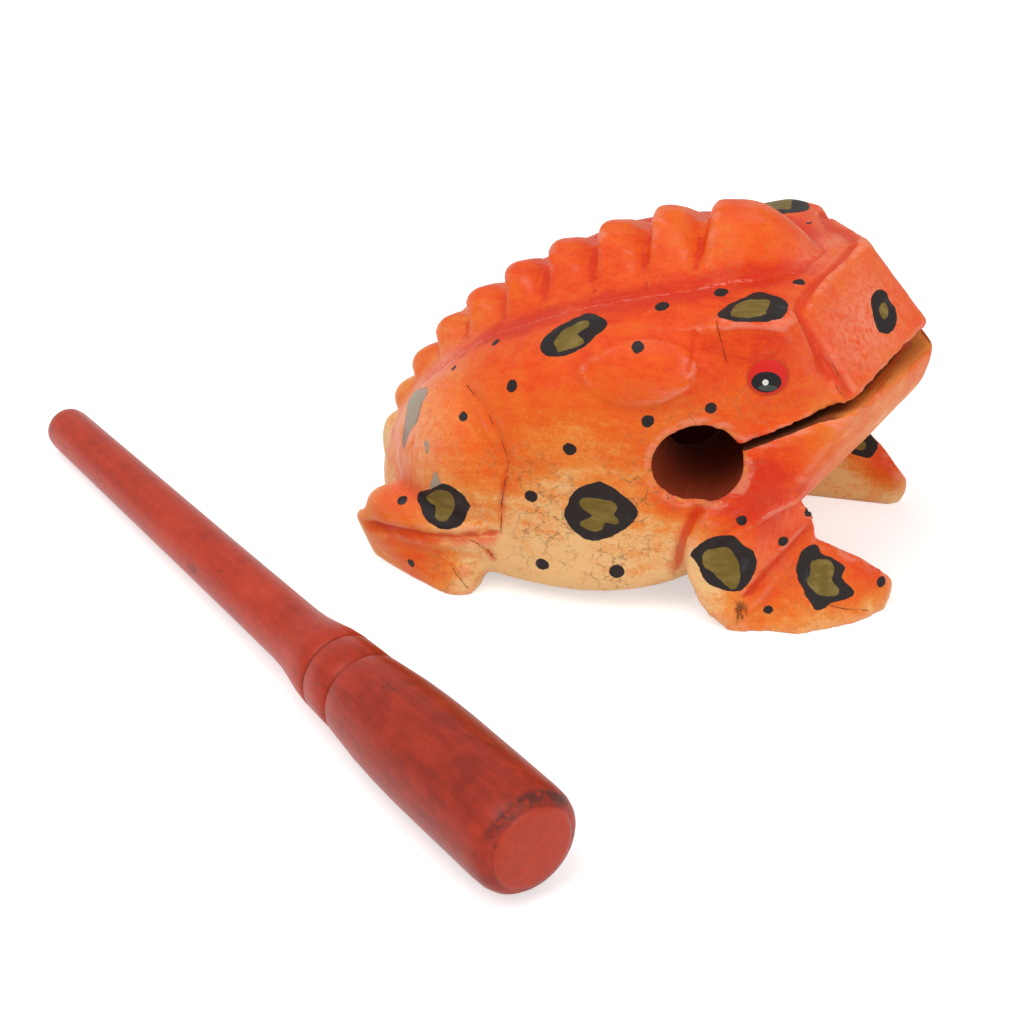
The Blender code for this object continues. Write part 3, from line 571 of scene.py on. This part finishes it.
RUBBED_AND_SHEEN = (((-37.5, -20.0, 27.0), 8.0, 1.25), ((-44.5, -15.0, 22.0), 7.0, 0.75),
          ((-32.0, -24.0, 24.0), 6.0, 0.50), ((-33.0, -12.0, 33.0), 7.0, 0.45),
          # The entries at (41, -8, 52), (37, -16, 49) and (30, -3, 57.5) are a painted pink sheen on the snout and
          # brow; the others are paint rubbed pale
          ((-44.0, -22.0, 12.0), 5.0, 0.35), ((41.0, -8.0, 52.0), 8.0, 0.42), ((37.0, -16.0, 49.0), 8.0, 0.38),
          ((30.0, -3.0, 57.5), 5.0, 0.42), ((27.0, -29.0, 14.0), 4.0, 0.25), ((30.0, -27.0, 22.0), 4.0, 0.22))
CRACKED = (((0.0, -30.0, 10.0), 15.0, 0.95), ((8.0, -31.0, 27.0), 9.0, 0.85), ((20.0, -28.0, 37.0), 8.0, 0.75),
           ((-14.0, -31.0, 22.0), 9.0, 0.60), ((-28.0, -31.0, 4.0), 7.0, 0.60), ((40.0, -20.0, 40.0), 8.0, 0.45),
           ((14.0, -10.0, 58.0), 7.0, 0.35), ((-24.0, -28.0, 28.0), 8.0, 0.25), ((34.0, -27.0, 5.0), 9.0, 0.40))
RED_AT_RIDGE = 0.42
RED_AT_RIDGE_REACH = 3.2
SMEAR_AT = (23.4, -31.4, 3.9)
SMEAR_HALF_SIZE = (1.5, 4.0, 2.6)
halved, halved_normals = on_right_side(points, normals)


def dabbed(spots):
    total = np.zeros(len(points))
    for centre, reach, amount in spots:
        total += amount * np.exp(-(np.linalg.norm(halved - centre, axis=1) / reach) ** 2)
    return total


ridge_distance = line_distance(halved, curve_through(RIDGE_FOOT, 6))
redness = np.interp(points[:, 2], *RED_BY_HEIGHT) + dabbed(REDDER)
redness += RED_AT_RIDGE * np.exp(-(ridge_distance / RED_AT_RIDGE_REACH) ** 2)
keep_on_skin("redness", np.clip(redness, 0, 1))
keep_on_skin("rubbed_and_sheen", np.clip(dabbed(RUBBED_AND_SHEEN), 0, 1))
keep_on_skin("cracked", np.clip(dabbed(CRACKED), 0.12, 1))
keep_on_skin("mouth_depth", np.clip(np.interp(points[:, 1], *np.array(KERF_FRONTS).T) - points[:, 0], -1, 12))
keep_on_skin("ridge_score", np.minimum(ridge_distance, 5.0))
keep_on_skin("edge_height", ((points - rubbed_smooth(points, skin_edges(), 9)) * normals).sum(axis=1))

hairline = np.full(len(points), 3.0)
hairline_side = np.full(len(points), 3.0)
painted_groove_shade = np.zeros(len(points))
carved_tree = skin_tree()
for line in (THIGH_CREASE, ANKLE_CREASE, TOE_CREASE, FOOT_CRACK, NECK_CRACK, CHEEK_CRACK, SNOUT_CRACK):
    distance, signed = beside_line(halved, halved_normals, carved_tree, line)
    hairline_side = np.where(distance < hairline, signed, hairline_side)
    hairline = np.minimum(hairline, distance)
# Painted shade: beside the heel groove, the armpit, the wrist edge and the snout step the coat is painted deeper red on
# the side that lies in shade
for line, shade in ((HEEL_GROOVE, 0.9), (ARMPIT_CREASE, 0.6), (WRIST_EDGE, 0.6)):
    distance, signed = beside_line(halved, halved_normals, carved_tree, line)
    painted_groove_shade = np.maximum(painted_groove_shade, shade * soft_step(signed, -0.9, 0.1) * soft_step(distance, 2.2, 0.2))
step_distance, step_side = beside_line(halved, halved_normals, carved_tree, SNOUT_STEP)
painted_groove_shade = np.maximum(painted_groove_shade, 0.9 * soft_step(step_side, 1.15, 0.8) * soft_step(step_side, -1.6, -0.5)
                    * (step_distance < 2.2))
keep_on_skin("hairline", hairline)
keep_on_skin("hairline_side", hairline_side)
keep_on_skin("painted_groove_shade", painted_groove_shade)
bore_reach = np.hypot((points[:, 0] - BORE_AXIS[0]) / BORE_HALF_SIZE[0],
                      (points[:, 2] - BORE_AXIS[1]) / BORE_HALF_SIZE[1])
keep_on_skin("bore_rim", np.clip((bore_reach - 1) * BORE_HALF_SIZE[0], -3, 5))
in_hollow = np.linalg.norm((points - HOLLOW_CENTRE) / HOLLOW_HALF_SIZE, axis=1) < 1.05
keep_on_skin("hollow", in_hollow * 1.0)
smear_reach = np.linalg.norm((points - SMEAR_AT) / SMEAR_HALF_SIZE, axis=1)
keep_on_skin("smear", soft_step(smear_reach, 1.2, 0.4))


class Paint:
    """A paint under construction: nodes are added and wired with short calls."""

    def __init__(self, name):
        self.material = bpy.data.materials.new(name)
        self.material.use_nodes = True
        self.tree = self.material.node_tree
        self.shader = self.tree.nodes["Principled BSDF"]

    def node(self, kind, settings=None, **inputs):
        made = self.tree.nodes.new(kind)
        for key, value in (settings or {}).items():
            setattr(made, key, value)
        for key, value in inputs.items():
            slot = made.inputs[int(key[1:])] if key[0] == "i" and key[1:].isdigit() else made.inputs[key]
            if isinstance(value, bpy.types.NodeSocket):
                self.tree.links.new(value, slot)
            else:
                slot.default_value = value
        return made

    def maths(self, operation, first, second=0.0, clamp=False):
        return self.node("ShaderNodeMath", {"operation": operation, "use_clamp": clamp}, i0=first, i1=second).outputs[0]

    def both(self, first, second):
        return self.maths('MULTIPLY', first, second)

    def amount(self, name):
        return self.node("ShaderNodeAttribute", {"attribute_name": name}).outputs["Fac"]

    def noise(self, vector, scale, detail=3.0, roughness=0.55):
        return self.node("ShaderNodeTexNoise", None, Vector=vector, Scale=scale, Detail=detail,
                         Roughness=roughness).outputs["Fac"]

    def step(self, value, start, end):
        made = self.node("ShaderNodeMapRange", {"interpolation_type": 'SMOOTHSTEP'}, Value=value)
        made.inputs["From Min"].default_value = min(start, end)
        made.inputs["From Max"].default_value = max(start, end)
        made.inputs["To Min"].default_value = 0.0 if start < end else 1.0
        made.inputs["To Max"].default_value = 1.0 if start < end else 0.0
        return made.outputs["Result"]

    def mix(self, share, under, over):
        made = self.node("ShaderNodeMix", {"data_type": 'RGBA'}, i0=share, i6=under,
                         i7=(*over, 1.0) if isinstance(over, tuple) else over)
        return made.outputs[2]

    def ramp(self, value, stops):
        made = self.node("ShaderNodeValToRGB", None, Fac=value)
        elements = made.color_ramp.elements
        while len(elements) < len(stops):
            elements.new(0.5)
        for element, (place, colour) in zip(elements, stops):
            element.position = place
            element.color = (*colour, 1.0)
        return made.outputs["Color"]


CREAM = (0.86, 0.52, 0.22)
YELLOW_ORANGE = (0.82, 0.26, 0.046)
ORANGE = (0.80, 0.140, 0.012)
RED_ORANGE = (0.79, 0.076, 0.006)
DEEP_RED = (0.66, 0.030, 0.004)
PINK_WEAR_AND_SHEEN = (0.90, 0.42, 0.28)
SCORE_PINK = (0.80, 0.22, 0.17)
CRACK_AND_SHADE_BROWN = (0.12, 0.030, 0.008)
DIRT_BROWN = (0.34, 0.13, 0.035)
BORE_BROWN = (0.22, 0.028, 0.007)
HOLLOW_BROWN = (0.55, 0.14, 0.05)
MOUTH_ORANGE = (0.80, 0.25, 0.050)
MOUTH_SHADE_BROWN = (0.26, 0.060, 0.012)
RIM_PALE = (0.80, 0.27, 0.060)
CHARCOAL = (0.020, 0.014, 0.013)
SLATE = (0.050, 0.046, 0.052)
OLIVE = (0.16, 0.105, 0.014)
PALE_OLIVE = (0.24, 0.165, 0.040)
ASH_GREY = (0.31, 0.30, 0.24)
ASH_DARK = (0.15, 0.15, 0.15)
CRIMSON = (0.68, 0.020, 0.014)
EYE_RING = (0.60, 0.050, 0.008)
EYE_BLACK = (0.012, 0.010, 0.011)
EYE_GREY = (0.060, 0.068, 0.062)
EYE_GLINT_WHITE = (0.75, 0.75, 0.70)

coat = Paint("orange paint on carved wood")
place = coat.node("ShaderNodeTexCoord").outputs["Object"]
centred = coat.node("ShaderNodeMapping", None, Vector=place, Location=tuple(-v for v in frog_origin)).outputs[0]
cloudy = coat.noise(centred, 85.0, 4.0)
patchy = coat.noise(centred, 240.0, 4.0, 0.6)
brushed = coat.node("ShaderNodeMapping", None, Vector=centred, Scale=(0.30, 1.0, 1.0)).outputs[0]
streaky = coat.noise(brushed, 520.0, 5.0, 0.65)
fine = coat.noise(centred, 1900.0, 3.0, 0.6)

redness_here = coat.maths('ADD', coat.amount("redness"), coat.both(coat.maths('SUBTRACT', cloudy, 0.5), 0.55))
redness_here = coat.maths('ADD', redness_here, coat.both(coat.maths('SUBTRACT', patchy, 0.5), 0.38))
redness_here = coat.maths('ADD', redness_here, coat.both(coat.maths('SUBTRACT', streaky, 0.5), 0.62))
redness_here = coat.maths('ADD', redness_here, coat.both(coat.maths('SUBTRACT', fine, 0.5), 0.40), clamp=True)
colour = coat.ramp(redness_here, ((0.04, CREAM), (0.26, YELLOW_ORANGE), (0.48, ORANGE), (0.74, RED_ORANGE),
                                  (1.0, DEEP_RED)))

# Pale pink on raised edges: worn paint, and a painted highlight along the edges of the teeth and the jaw
worn_edges_and_highlight = coat.both(coat.step(coat.amount("edge_height"), 0.03, 0.22), coat.step(streaky, 0.40, 0.60))
scratched = coat.node("ShaderNodeMapping", None, Vector=centred, Scale=(1.0, 1.0, 0.16)).outputs[0]
scratches = coat.noise(scratched, 1500.0, 3.0, 0.6)
rubbed_and_sheen_here = coat.both(coat.amount("rubbed_and_sheen"),
                        coat.step(coat.maths('ADD', scratches, coat.both(patchy, 0.6)), 0.50, 1.0))
pale_wear_and_sheen = coat.maths('MAXIMUM', coat.both(worn_edges_and_highlight, 0.45), rubbed_and_sheen_here)
colour = coat.mix(coat.both(pale_wear_and_sheen, 0.8), colour, PINK_WEAR_AND_SHEEN)
# Painted shade: hollows, the notches between the teeth and the shaded side of the carved grooves are painted deep red
painted_crease_shade = coat.maths('MAXIMUM', coat.step(coat.amount("edge_height"), -0.04, -0.30), coat.amount("painted_groove_shade"))
colour = coat.mix(coat.both(painted_crease_shade, 0.75), colour, DEEP_RED)

score = coat.both(coat.step(coat.amount("ridge_score"), 0.55, 0.15),
                  coat.step(coat.noise(centred, 1300.0, 2.0), 0.42, 0.60))
colour = coat.mix(coat.both(score, 0.75), colour, SCORE_PINK)

warp = coat.node("ShaderNodeTexNoise", None, Vector=centred, Scale=420.0, Detail=4.0, Roughness=0.65).outputs["Color"]
bent = coat.node("ShaderNodeVectorMath", {"operation": 'MULTIPLY_ADD'}, i0=warp, i1=(0.0036, 0.0036, 0.0036),
                 i2=centred).outputs[0]
cells = coat.node("ShaderNodeTexVoronoi", {"feature": 'DISTANCE_TO_EDGE'}, Vector=bent, Scale=340.0).outputs["Distance"]
crack_patch = coat.step(coat.noise(centred, 150.0, 3.0), 0.42, 0.52)
crack_break = coat.step(coat.noise(centred, 620.0, 3.0), 0.38, 0.52)
crack = coat.both(coat.both(coat.both(coat.step(cells, 0.042, 0.014), crack_patch), crack_break),
                  coat.amount("cracked"))
hair = coat.both(coat.step(coat.maths('ABSOLUTE', coat.amount("hairline_side")), 0.12, 0.04),
                 coat.step(coat.amount("hairline"), 0.6, 0.35))
hair = coat.both(hair, coat.step(coat.noise(centred, 430.0, 3.0), 0.44, 0.54))
crack_halo = coat.both(coat.both(coat.step(cells, 0.12, 0.03), crack_patch), coat.amount("cracked"))
colour = coat.mix(coat.both(crack_halo, 0.15), colour, CREAM)
smeared = coat.both(coat.amount("smear"), coat.step(coat.noise(scratched, 900.0, 4.0, 0.7), 0.50, 0.60))
crack = coat.maths('MAXIMUM', coat.both(crack, 0.62), smeared)
colour = coat.mix(coat.both(coat.maths('MAXIMUM', crack, hair), 0.85), colour, CRACK_AND_SHADE_BROWN)
dirt = coat.both(coat.step(coat.noise(centred, 2300.0, 2.0), 0.62, 0.72), coat.step(patchy, 0.44, 0.60))
colour = coat.mix(coat.both(dirt, 0.40), colour, DIRT_BROWN)

ragged = coat.both(coat.maths('SUBTRACT', coat.noise(centred, 620.0, 4.0, 0.6), 0.5), 0.60)
rim_band = coat.both(coat.step(coat.amount("bore_rim"), 1.3, 0.2),
                     coat.step(coat.noise(centred, 520.0, 4.0), 0.46, 0.56))
colour = coat.mix(coat.both(rim_band, 0.6), colour, RIM_PALE)
ring = coat.step(coat.maths('ADD', coat.amount("charcoal"), ragged), -0.06, 0.06)
ring_colour = coat.mix(coat.step(coat.noise(centred, 230.0, 4.0), 0.56, 0.76), (*CHARCOAL, 1.0), SLATE)
middle = coat.both(coat.step(coat.maths('ADD', coat.amount("olive"), ragged), -0.06, 0.06), ring)
middle_colour = coat.mix(coat.step(coat.noise(brushed, 700.0, 3.0), 0.40, 0.72), (*OLIVE, 1.0), PALE_OLIVE)
ashen = coat.step(coat.maths('ADD', coat.amount("ash"), ragged), -0.15, 0.20)
ash_depth = coat.maths('ADD', coat.amount("ash"), coat.both(coat.noise(scratched, 600.0, 3.0), 1.4))
ash_colour = coat.mix(coat.step(ash_depth, 1.1, 0.6), (*ASH_GREY, 1.0), ASH_DARK)
colour = coat.mix(coat.both(ashen, 0.88), colour, ash_colour)
colour = coat.mix(ring, colour, ring_colour)
colour = coat.mix(middle, colour, middle_colour)

parts = coat.node("ShaderNodeSeparateXYZ", None, Vector=centred).outputs
eye_x = coat.maths('SUBTRACT', parts[0], EYE_CENTRE[0] * MM)
eye_z = coat.maths('SUBTRACT', parts[2], EYE_CENTRE[2] * MM)
on_cheek = coat.step(coat.maths('ABSOLUTE', parts[1]), 21 * MM, 22 * MM)


def eye_disc(centre_x, centre_z, half_x, half_z):
    """Share of an oval on the cheek, with a brushed edge."""
    over_x = coat.maths('DIVIDE', coat.maths('SUBTRACT', eye_x, centre_x * MM), half_x * MM)
    over_z = coat.maths('DIVIDE', coat.maths('SUBTRACT', eye_z, centre_z * MM), half_z * MM)
    reach = coat.maths('SQRT', coat.maths('ADD', coat.both(over_x, over_x), coat.both(over_z, over_z)))
    reach = coat.maths('ADD', reach, coat.both(ragged, 0.12))
    return coat.both(coat.step(reach, 1.03, 0.97), on_cheek)


colour = coat.mix(eye_disc(0.0, -0.1, EYE_RADIUS + EYE_RIM, EYE_RADIUS + EYE_RIM), colour, EYE_RING)
colour = coat.mix(eye_disc(0.0, 0.0, EYE_RADIUS, EYE_RADIUS), colour, CRIMSON)
colour = coat.mix(eye_disc(-0.15, -0.85, 2.4, 1.95), colour, EYE_BLACK)
colour = coat.mix(eye_disc(0.15, -1.9, 1.5, 0.60), colour, EYE_GREY)
# A painted highlight: a white glint in the black of the eye
colour = coat.mix(eye_disc(-0.3, -0.85, 0.50, 0.55), colour, EYE_GLINT_WHITE)

# Painted shade in the mouth cut: orange at the lips, then brown, then near black the deeper it goes
mouth_depth = coat.maths('ADD', coat.amount("mouth_depth"), coat.both(coat.maths('SUBTRACT', streaky, 0.5), 3.0))
painted_mouth_shade = coat.mix(coat.step(mouth_depth, 2.6, 5.2), (*MOUTH_ORANGE, 1.0), MOUTH_SHADE_BROWN)
painted_mouth_shade = coat.mix(coat.step(mouth_depth, 5.0, 9.0), painted_mouth_shade, CRACK_AND_SHADE_BROWN)
colour = coat.mix(coat.amount("mouth"), colour, painted_mouth_shade)
colour = coat.mix(coat.amount("hollow"), colour, HOLLOW_BROWN)
colour = coat.mix(coat.amount("bore"), colour, BORE_BROWN)

relief = coat.maths('ADD', coat.both(streaky, 0.55), coat.both(fine, 0.25))
relief = coat.maths('ADD', relief, coat.both(patchy, 0.35))
relief = coat.maths('SUBTRACT', relief, coat.both(coat.maths('MAXIMUM', crack, hair), 0.9))
relief = coat.maths('ADD', relief, coat.both(ring, 0.25))
bump = coat.node("ShaderNodeBump", None, Height=relief, Strength=0.55, Distance=0.00034).outputs["Normal"]
gloss = coat.node("ShaderNodeMapRange", None, Value=patchy)
gloss.inputs["To Min"].default_value = 0.34
gloss.inputs["To Max"].default_value = 0.56
in_a_cut = coat.maths('MAXIMUM', coat.amount("bore"), coat.amount("mouth"))
dull = coat.maths('MAXIMUM', gloss.outputs["Result"], coat.both(in_a_cut, 0.9))
coat.tree.links.new(colour, coat.shader.inputs["Base Color"])
coat.tree.links.new(dull, coat.shader.inputs["Roughness"])
coat.tree.links.new(bump, coat.shader.inputs["Normal"])
coat.shader.inputs["Specular IOR Level"].default_value = 0.18

frog.data.materials.append(coat.material)
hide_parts("frog_body")
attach(frog, "root")


# The striker
# A stick turned on a lathe from one rod, with a thick grip, two scored rings at its cuff and a
# long taper to the tip, dipped in brick-red paint and scuffed by use. It lies on grip and tip.
STICK_LENGTH = 161.4
GRIP_RADIUS = 8.78
TIP_RADIUS = 4.3
GRIP_STRAIGHT = 26.0
TIP_ROUNDING = 2.2
STICK_TIP_AT = (-113.78, 3.5)
STICK_HEADING = -42.9
STICK_PROFILE = ((0.12, 0.0), (0.0, 1.5), (0.0, 6.0), (0.12, 6.45), (0.5, 6.75), (0.62, 7.05), (0.9, 7.7),
                 (1.6, 8.3), (2.8, 8.66), (5.0, 8.78), (16.0, 8.78), (26.0, 8.76),
                 (32.0, 8.6), (38.0, 8.25), (43.0, 7.75), (46.0, 7.46), (46.35, 7.3), (46.45, 6.95), (46.7, 6.86),
                 (46.95, 7.05), (47.3, 7.3), (50.5, 7.22), (53.6, 7.1), (53.85, 6.95), (54.0, 6.72), (54.25, 6.70),
                 (54.5, 6.92), (55.0, 7.05), (58.0, 6.75), (61.5, 6.1), (65.0, 5.55), (68.5, 5.32), (80.0, 5.15),
                 (100.0, 4.9), (125.0, 4.65), (148.0, 4.4), (158.5, 4.3), (160.1, 4.1), (161.1, 3.4), (161.4, 2.4),
                 (161.4, 0.0))
STICK_SIDES = 96
STICK_WELD_DISTANCE = 0.004
STICK_CRISP_ANGLE = 38

bpy.ops.object.select_all(action='DESELECT')
profile = bpy.data.meshes.new("stick")
profile.from_pydata([(x * MM, 0.0, r * MM) for x, r in STICK_PROFILE],
                    [(i, i + 1) for i in range(len(STICK_PROFILE) - 1)], [])
stick = bpy.data.objects.new("stick", profile)
bpy.context.scene.collection.objects.link(stick)
stick.select_set(True)
bpy.context.view_layer.objects.active = stick
bpy.ops.object.mode_set(mode='EDIT')
bpy.ops.mesh.select_all(action='SELECT')
bpy.ops.mesh.spin(steps=STICK_SIDES, angle=2 * pi, center=(0, 0, 0), axis=(1, 0, 0))
bpy.ops.mesh.select_all(action='SELECT')
bpy.ops.mesh.remove_doubles(threshold=STICK_WELD_DISTANCE * MM)
bpy.ops.mesh.normals_make_consistent(inside=False)
bpy.ops.object.mode_set(mode='OBJECT')

droop = asin((GRIP_RADIUS - TIP_RADIUS) / (STICK_LENGTH - TIP_ROUNDING - GRIP_STRAIGHT))
lie = Matrix.Rotation(radians(STICK_HEADING + 180.0), 4, 'Z') @ Matrix.Rotation(droop, 4, 'Y')
tip_end = lie @ Vector((STICK_LENGTH * MM, 0.0, 0.0))
grip_drop = min((lie @ vertex.co).z for vertex in stick.data.vertices)
stick_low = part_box("striker")[0]
lay_down = Vector((frog_origin.x + STICK_TIP_AT[0] * MM - tip_end.x,
                   frog_origin.y + STICK_TIP_AT[1] * MM - tip_end.y, stick_low.z - grip_drop))
along_stick = np.empty(len(stick.data.vertices) * 3)
stick.data.vertices.foreach_get("co", along_stick)
along = stick.data.attributes.new("along", 'FLOAT_VECTOR', 'POINT')
along.data.foreach_set("vector", along_stick)
stick.data.transform(Matrix.Translation(lay_down) @ lie)
bpy.ops.object.shade_smooth_by_angle(angle=radians(STICK_CRISP_ANGLE))

BRICK = (0.44, 0.034, 0.011)
BRICK_LIGHT = (0.56, 0.056, 0.022)
BRICK_DARK = (0.26, 0.019, 0.007)
SCUFF_BROWN = (0.13, 0.020, 0.010)
GRIME = (0.045, 0.020, 0.016)
red = Paint("brick-red paint on turned wood")
own = red.node("ShaderNodeAttribute", {"attribute_name": "along"}).outputs["Vector"]
grain_place = red.node("ShaderNodeMapping", None, Vector=own, Scale=(0.12, 1.0, 1.0)).outputs[0]
grain = red.noise(grain_place, 900.0, 4.0, 0.6)
clouds = red.noise(own, 110.0, 3.0)
mottle = red.noise(own, 420.0, 4.0, 0.6)
speckle = red.noise(own, 2200.0, 2.0)
lengthwise = red.node("ShaderNodeSeparateXYZ", None, Vector=own).outputs[0]
tone = red.maths('ADD', red.both(grain, 0.30), red.both(clouds, 0.30))
tone = red.maths('ADD', tone, red.both(mottle, 0.28))
tone = red.maths('ADD', tone, red.both(red.step(lengthwise, 30 * MM, 62 * MM), 0.15))
red_colour = red.ramp(tone, ((0.38, BRICK_DARK), (0.58, BRICK), (0.76, BRICK_LIGHT)))
scuff_place = red.node("ShaderNodeMapping", None, Vector=own, Scale=(0.5, 1.0, 1.0)).outputs[0]
scuffs = red.both(red.step(red.noise(scuff_place, 260.0, 5.0, 0.7), 0.61, 0.70), 0.6)
red_colour = red.mix(scuffs, red_colour, SCUFF_BROWN)
end_band = red.both(red.step(lengthwise, 2.6 * MM, 1.4 * MM), red.step(lengthwise, 0.35 * MM, 0.9 * MM))
upper_side = red.step(red.node("ShaderNodeSeparateXYZ", None, Vector=own).outputs[2], 2.5 * MM, 6.0 * MM)
grime = red.both(red.both(end_band, upper_side), red.step(red.noise(own, 300.0, 4.0, 0.65), 0.42, 0.56))
red_colour = red.mix(red.both(grime, 0.75), red_colour, GRIME)
end_face = red.step(lengthwise, 0.5 * MM, 0.2 * MM)
red_colour = red.mix(red.both(end_face, 0.5), red_colour, BRICK_LIGHT)
ring_one = red.both(red.step(lengthwise, 46.2 * MM, 46.4 * MM), red.step(lengthwise, 46.9 * MM, 46.7 * MM))
ring_two = red.both(red.step(lengthwise, 53.8 * MM, 54.0 * MM), red.step(lengthwise, 54.45 * MM, 54.3 * MM))
rings_dark = red.both(red.maths('MAXIMUM', ring_one, ring_two), red.step(red.noise(own, 330.0, 3.0), 0.38, 0.56))
red_colour = red.mix(red.both(rings_dark, 0.7), red_colour, SCUFF_BROWN)
red_bump = red.maths('ADD', red.both(grain, 0.7), red.both(speckle, 0.2))
red_bump = red.maths('ADD', red_bump, red.both(mottle, 0.4))
red_bump = red.maths('SUBTRACT', red_bump, scuffs)
red.tree.links.new(red_colour, red.shader.inputs["Base Color"])
red.tree.links.new(red.node("ShaderNodeBump", None, Height=red_bump, Strength=0.4, Distance=0.00022).outputs[0],
                   red.shader.inputs["Normal"])
red_gloss = red.node("ShaderNodeMapRange", None, Value=clouds)
red_gloss.inputs["To Min"].default_value = 0.30
red_gloss.inputs["To Max"].default_value = 0.46
red.tree.links.new(red_gloss.outputs["Result"], red.shader.inputs["Roughness"])
red.shader.inputs["Specular IOR Level"].default_value = 0.25
stick.data.materials.append(red.material)
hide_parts("striker")
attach(stick, "root")


# The table top, the soft light and the camera
# A white table top under the set, lit like a light tent, seen from in front of the frog's
# right shoulder and well above it.
CAMERA_AT = (53.4, -332.5, 203.9)
CAMERA_LENS = 74.8
SENSOR_WIDTH = 36.0
FLOOR_SIZE = 6.0
FLOOR_GREY = 0.80
FLOOR_LIFT = 0.48
TENT_LIGHT = 0.66

bpy.ops.object.select_all(action='DESELECT')
bpy.ops.mesh.primitive_plane_add(size=FLOOR_SIZE, location=(0.0, 0.0, 0.0))
table_top = bpy.context.active_object
table_top.name = "table_top"
white = Paint("white table top")
rays = white.node("ShaderNodeLightPath").outputs
seen = white.maths('MAXIMUM', rays["Is Camera Ray"], white.maths('MAXIMUM', rays["Is Glossy Ray"],
                                                                   rays["Is Transmission Ray"]))
shine = white.node("ShaderNodeEmission", None, Color=(1.0, 1.0, 1.0, 1.0), Strength=white.both(seen, FLOOR_LIFT))
matt = white.node("ShaderNodeBsdfDiffuse", None, Color=(FLOOR_GREY, FLOOR_GREY, FLOOR_GREY, 1.0))
both = white.node("ShaderNodeAddShader", None, i0=shine.outputs[0], i1=matt.outputs[0])
white.tree.links.new(both.outputs[0], white.tree.nodes["Material Output"].inputs["Surface"])
white.tree.nodes.remove(white.shader)
table_top.data.materials.append(white.material)

world = bpy.data.worlds.new("light tent")
bpy.context.scene.world = world
world.use_nodes = True
sky = world.node_tree
background = sky.nodes["Background"]
background.inputs["Color"].default_value = (1.0, 1.0, 1.0, 1.0)
path = sky.nodes.new("ShaderNodeLightPath").outputs
lift = sky.nodes.new("ShaderNodeMapRange")
lift.inputs["To Min"].default_value = TENT_LIGHT
lift.inputs["To Max"].default_value = 1.0
any_seen = sky.nodes.new("ShaderNodeMath")
any_seen.operation = 'MAXIMUM'
sky.links.new(path["Is Camera Ray"], any_seen.inputs[0])
sky.links.new(path["Is Transmission Ray"], any_seen.inputs[1])
sky.links.new(any_seen.outputs[0], lift.inputs["Value"])
sky.links.new(lift.outputs["Result"], background.inputs["Strength"])


def soft_box(name, location, size, power):
    """A square lamp with a diffuser, turned to the middle of the set."""
    bpy.ops.object.light_add(type='AREA', location=location)
    lamp = bpy.context.active_object
    lamp.name = name
    lamp.data.size = size
    lamp.data.energy = power
    lamp.rotation_euler = (-Vector(location)).to_track_quat('-Z', 'Y').to_euler()


soft_box("soft box above", (-0.30, -0.35, 0.90), 0.7, 4.4)
soft_box("soft box at the side", (0.75, -0.65, 0.45), 0.6, 2.6)

bpy.ops.object.camera_add(location=in_place(CAMERA_AT),
                          rotation=(radians(90.0 - PAINTER_ELEVATION), 0.0, radians(PAINTER_AZIMUTH)))
camera = bpy.context.active_object
camera.data.lens = CAMERA_LENS
camera.data.sensor_width = SENSOR_WIDTH
bpy.context.scene.camera = camera

bpy.context.scene.view_settings.view_transform = 'Standard'
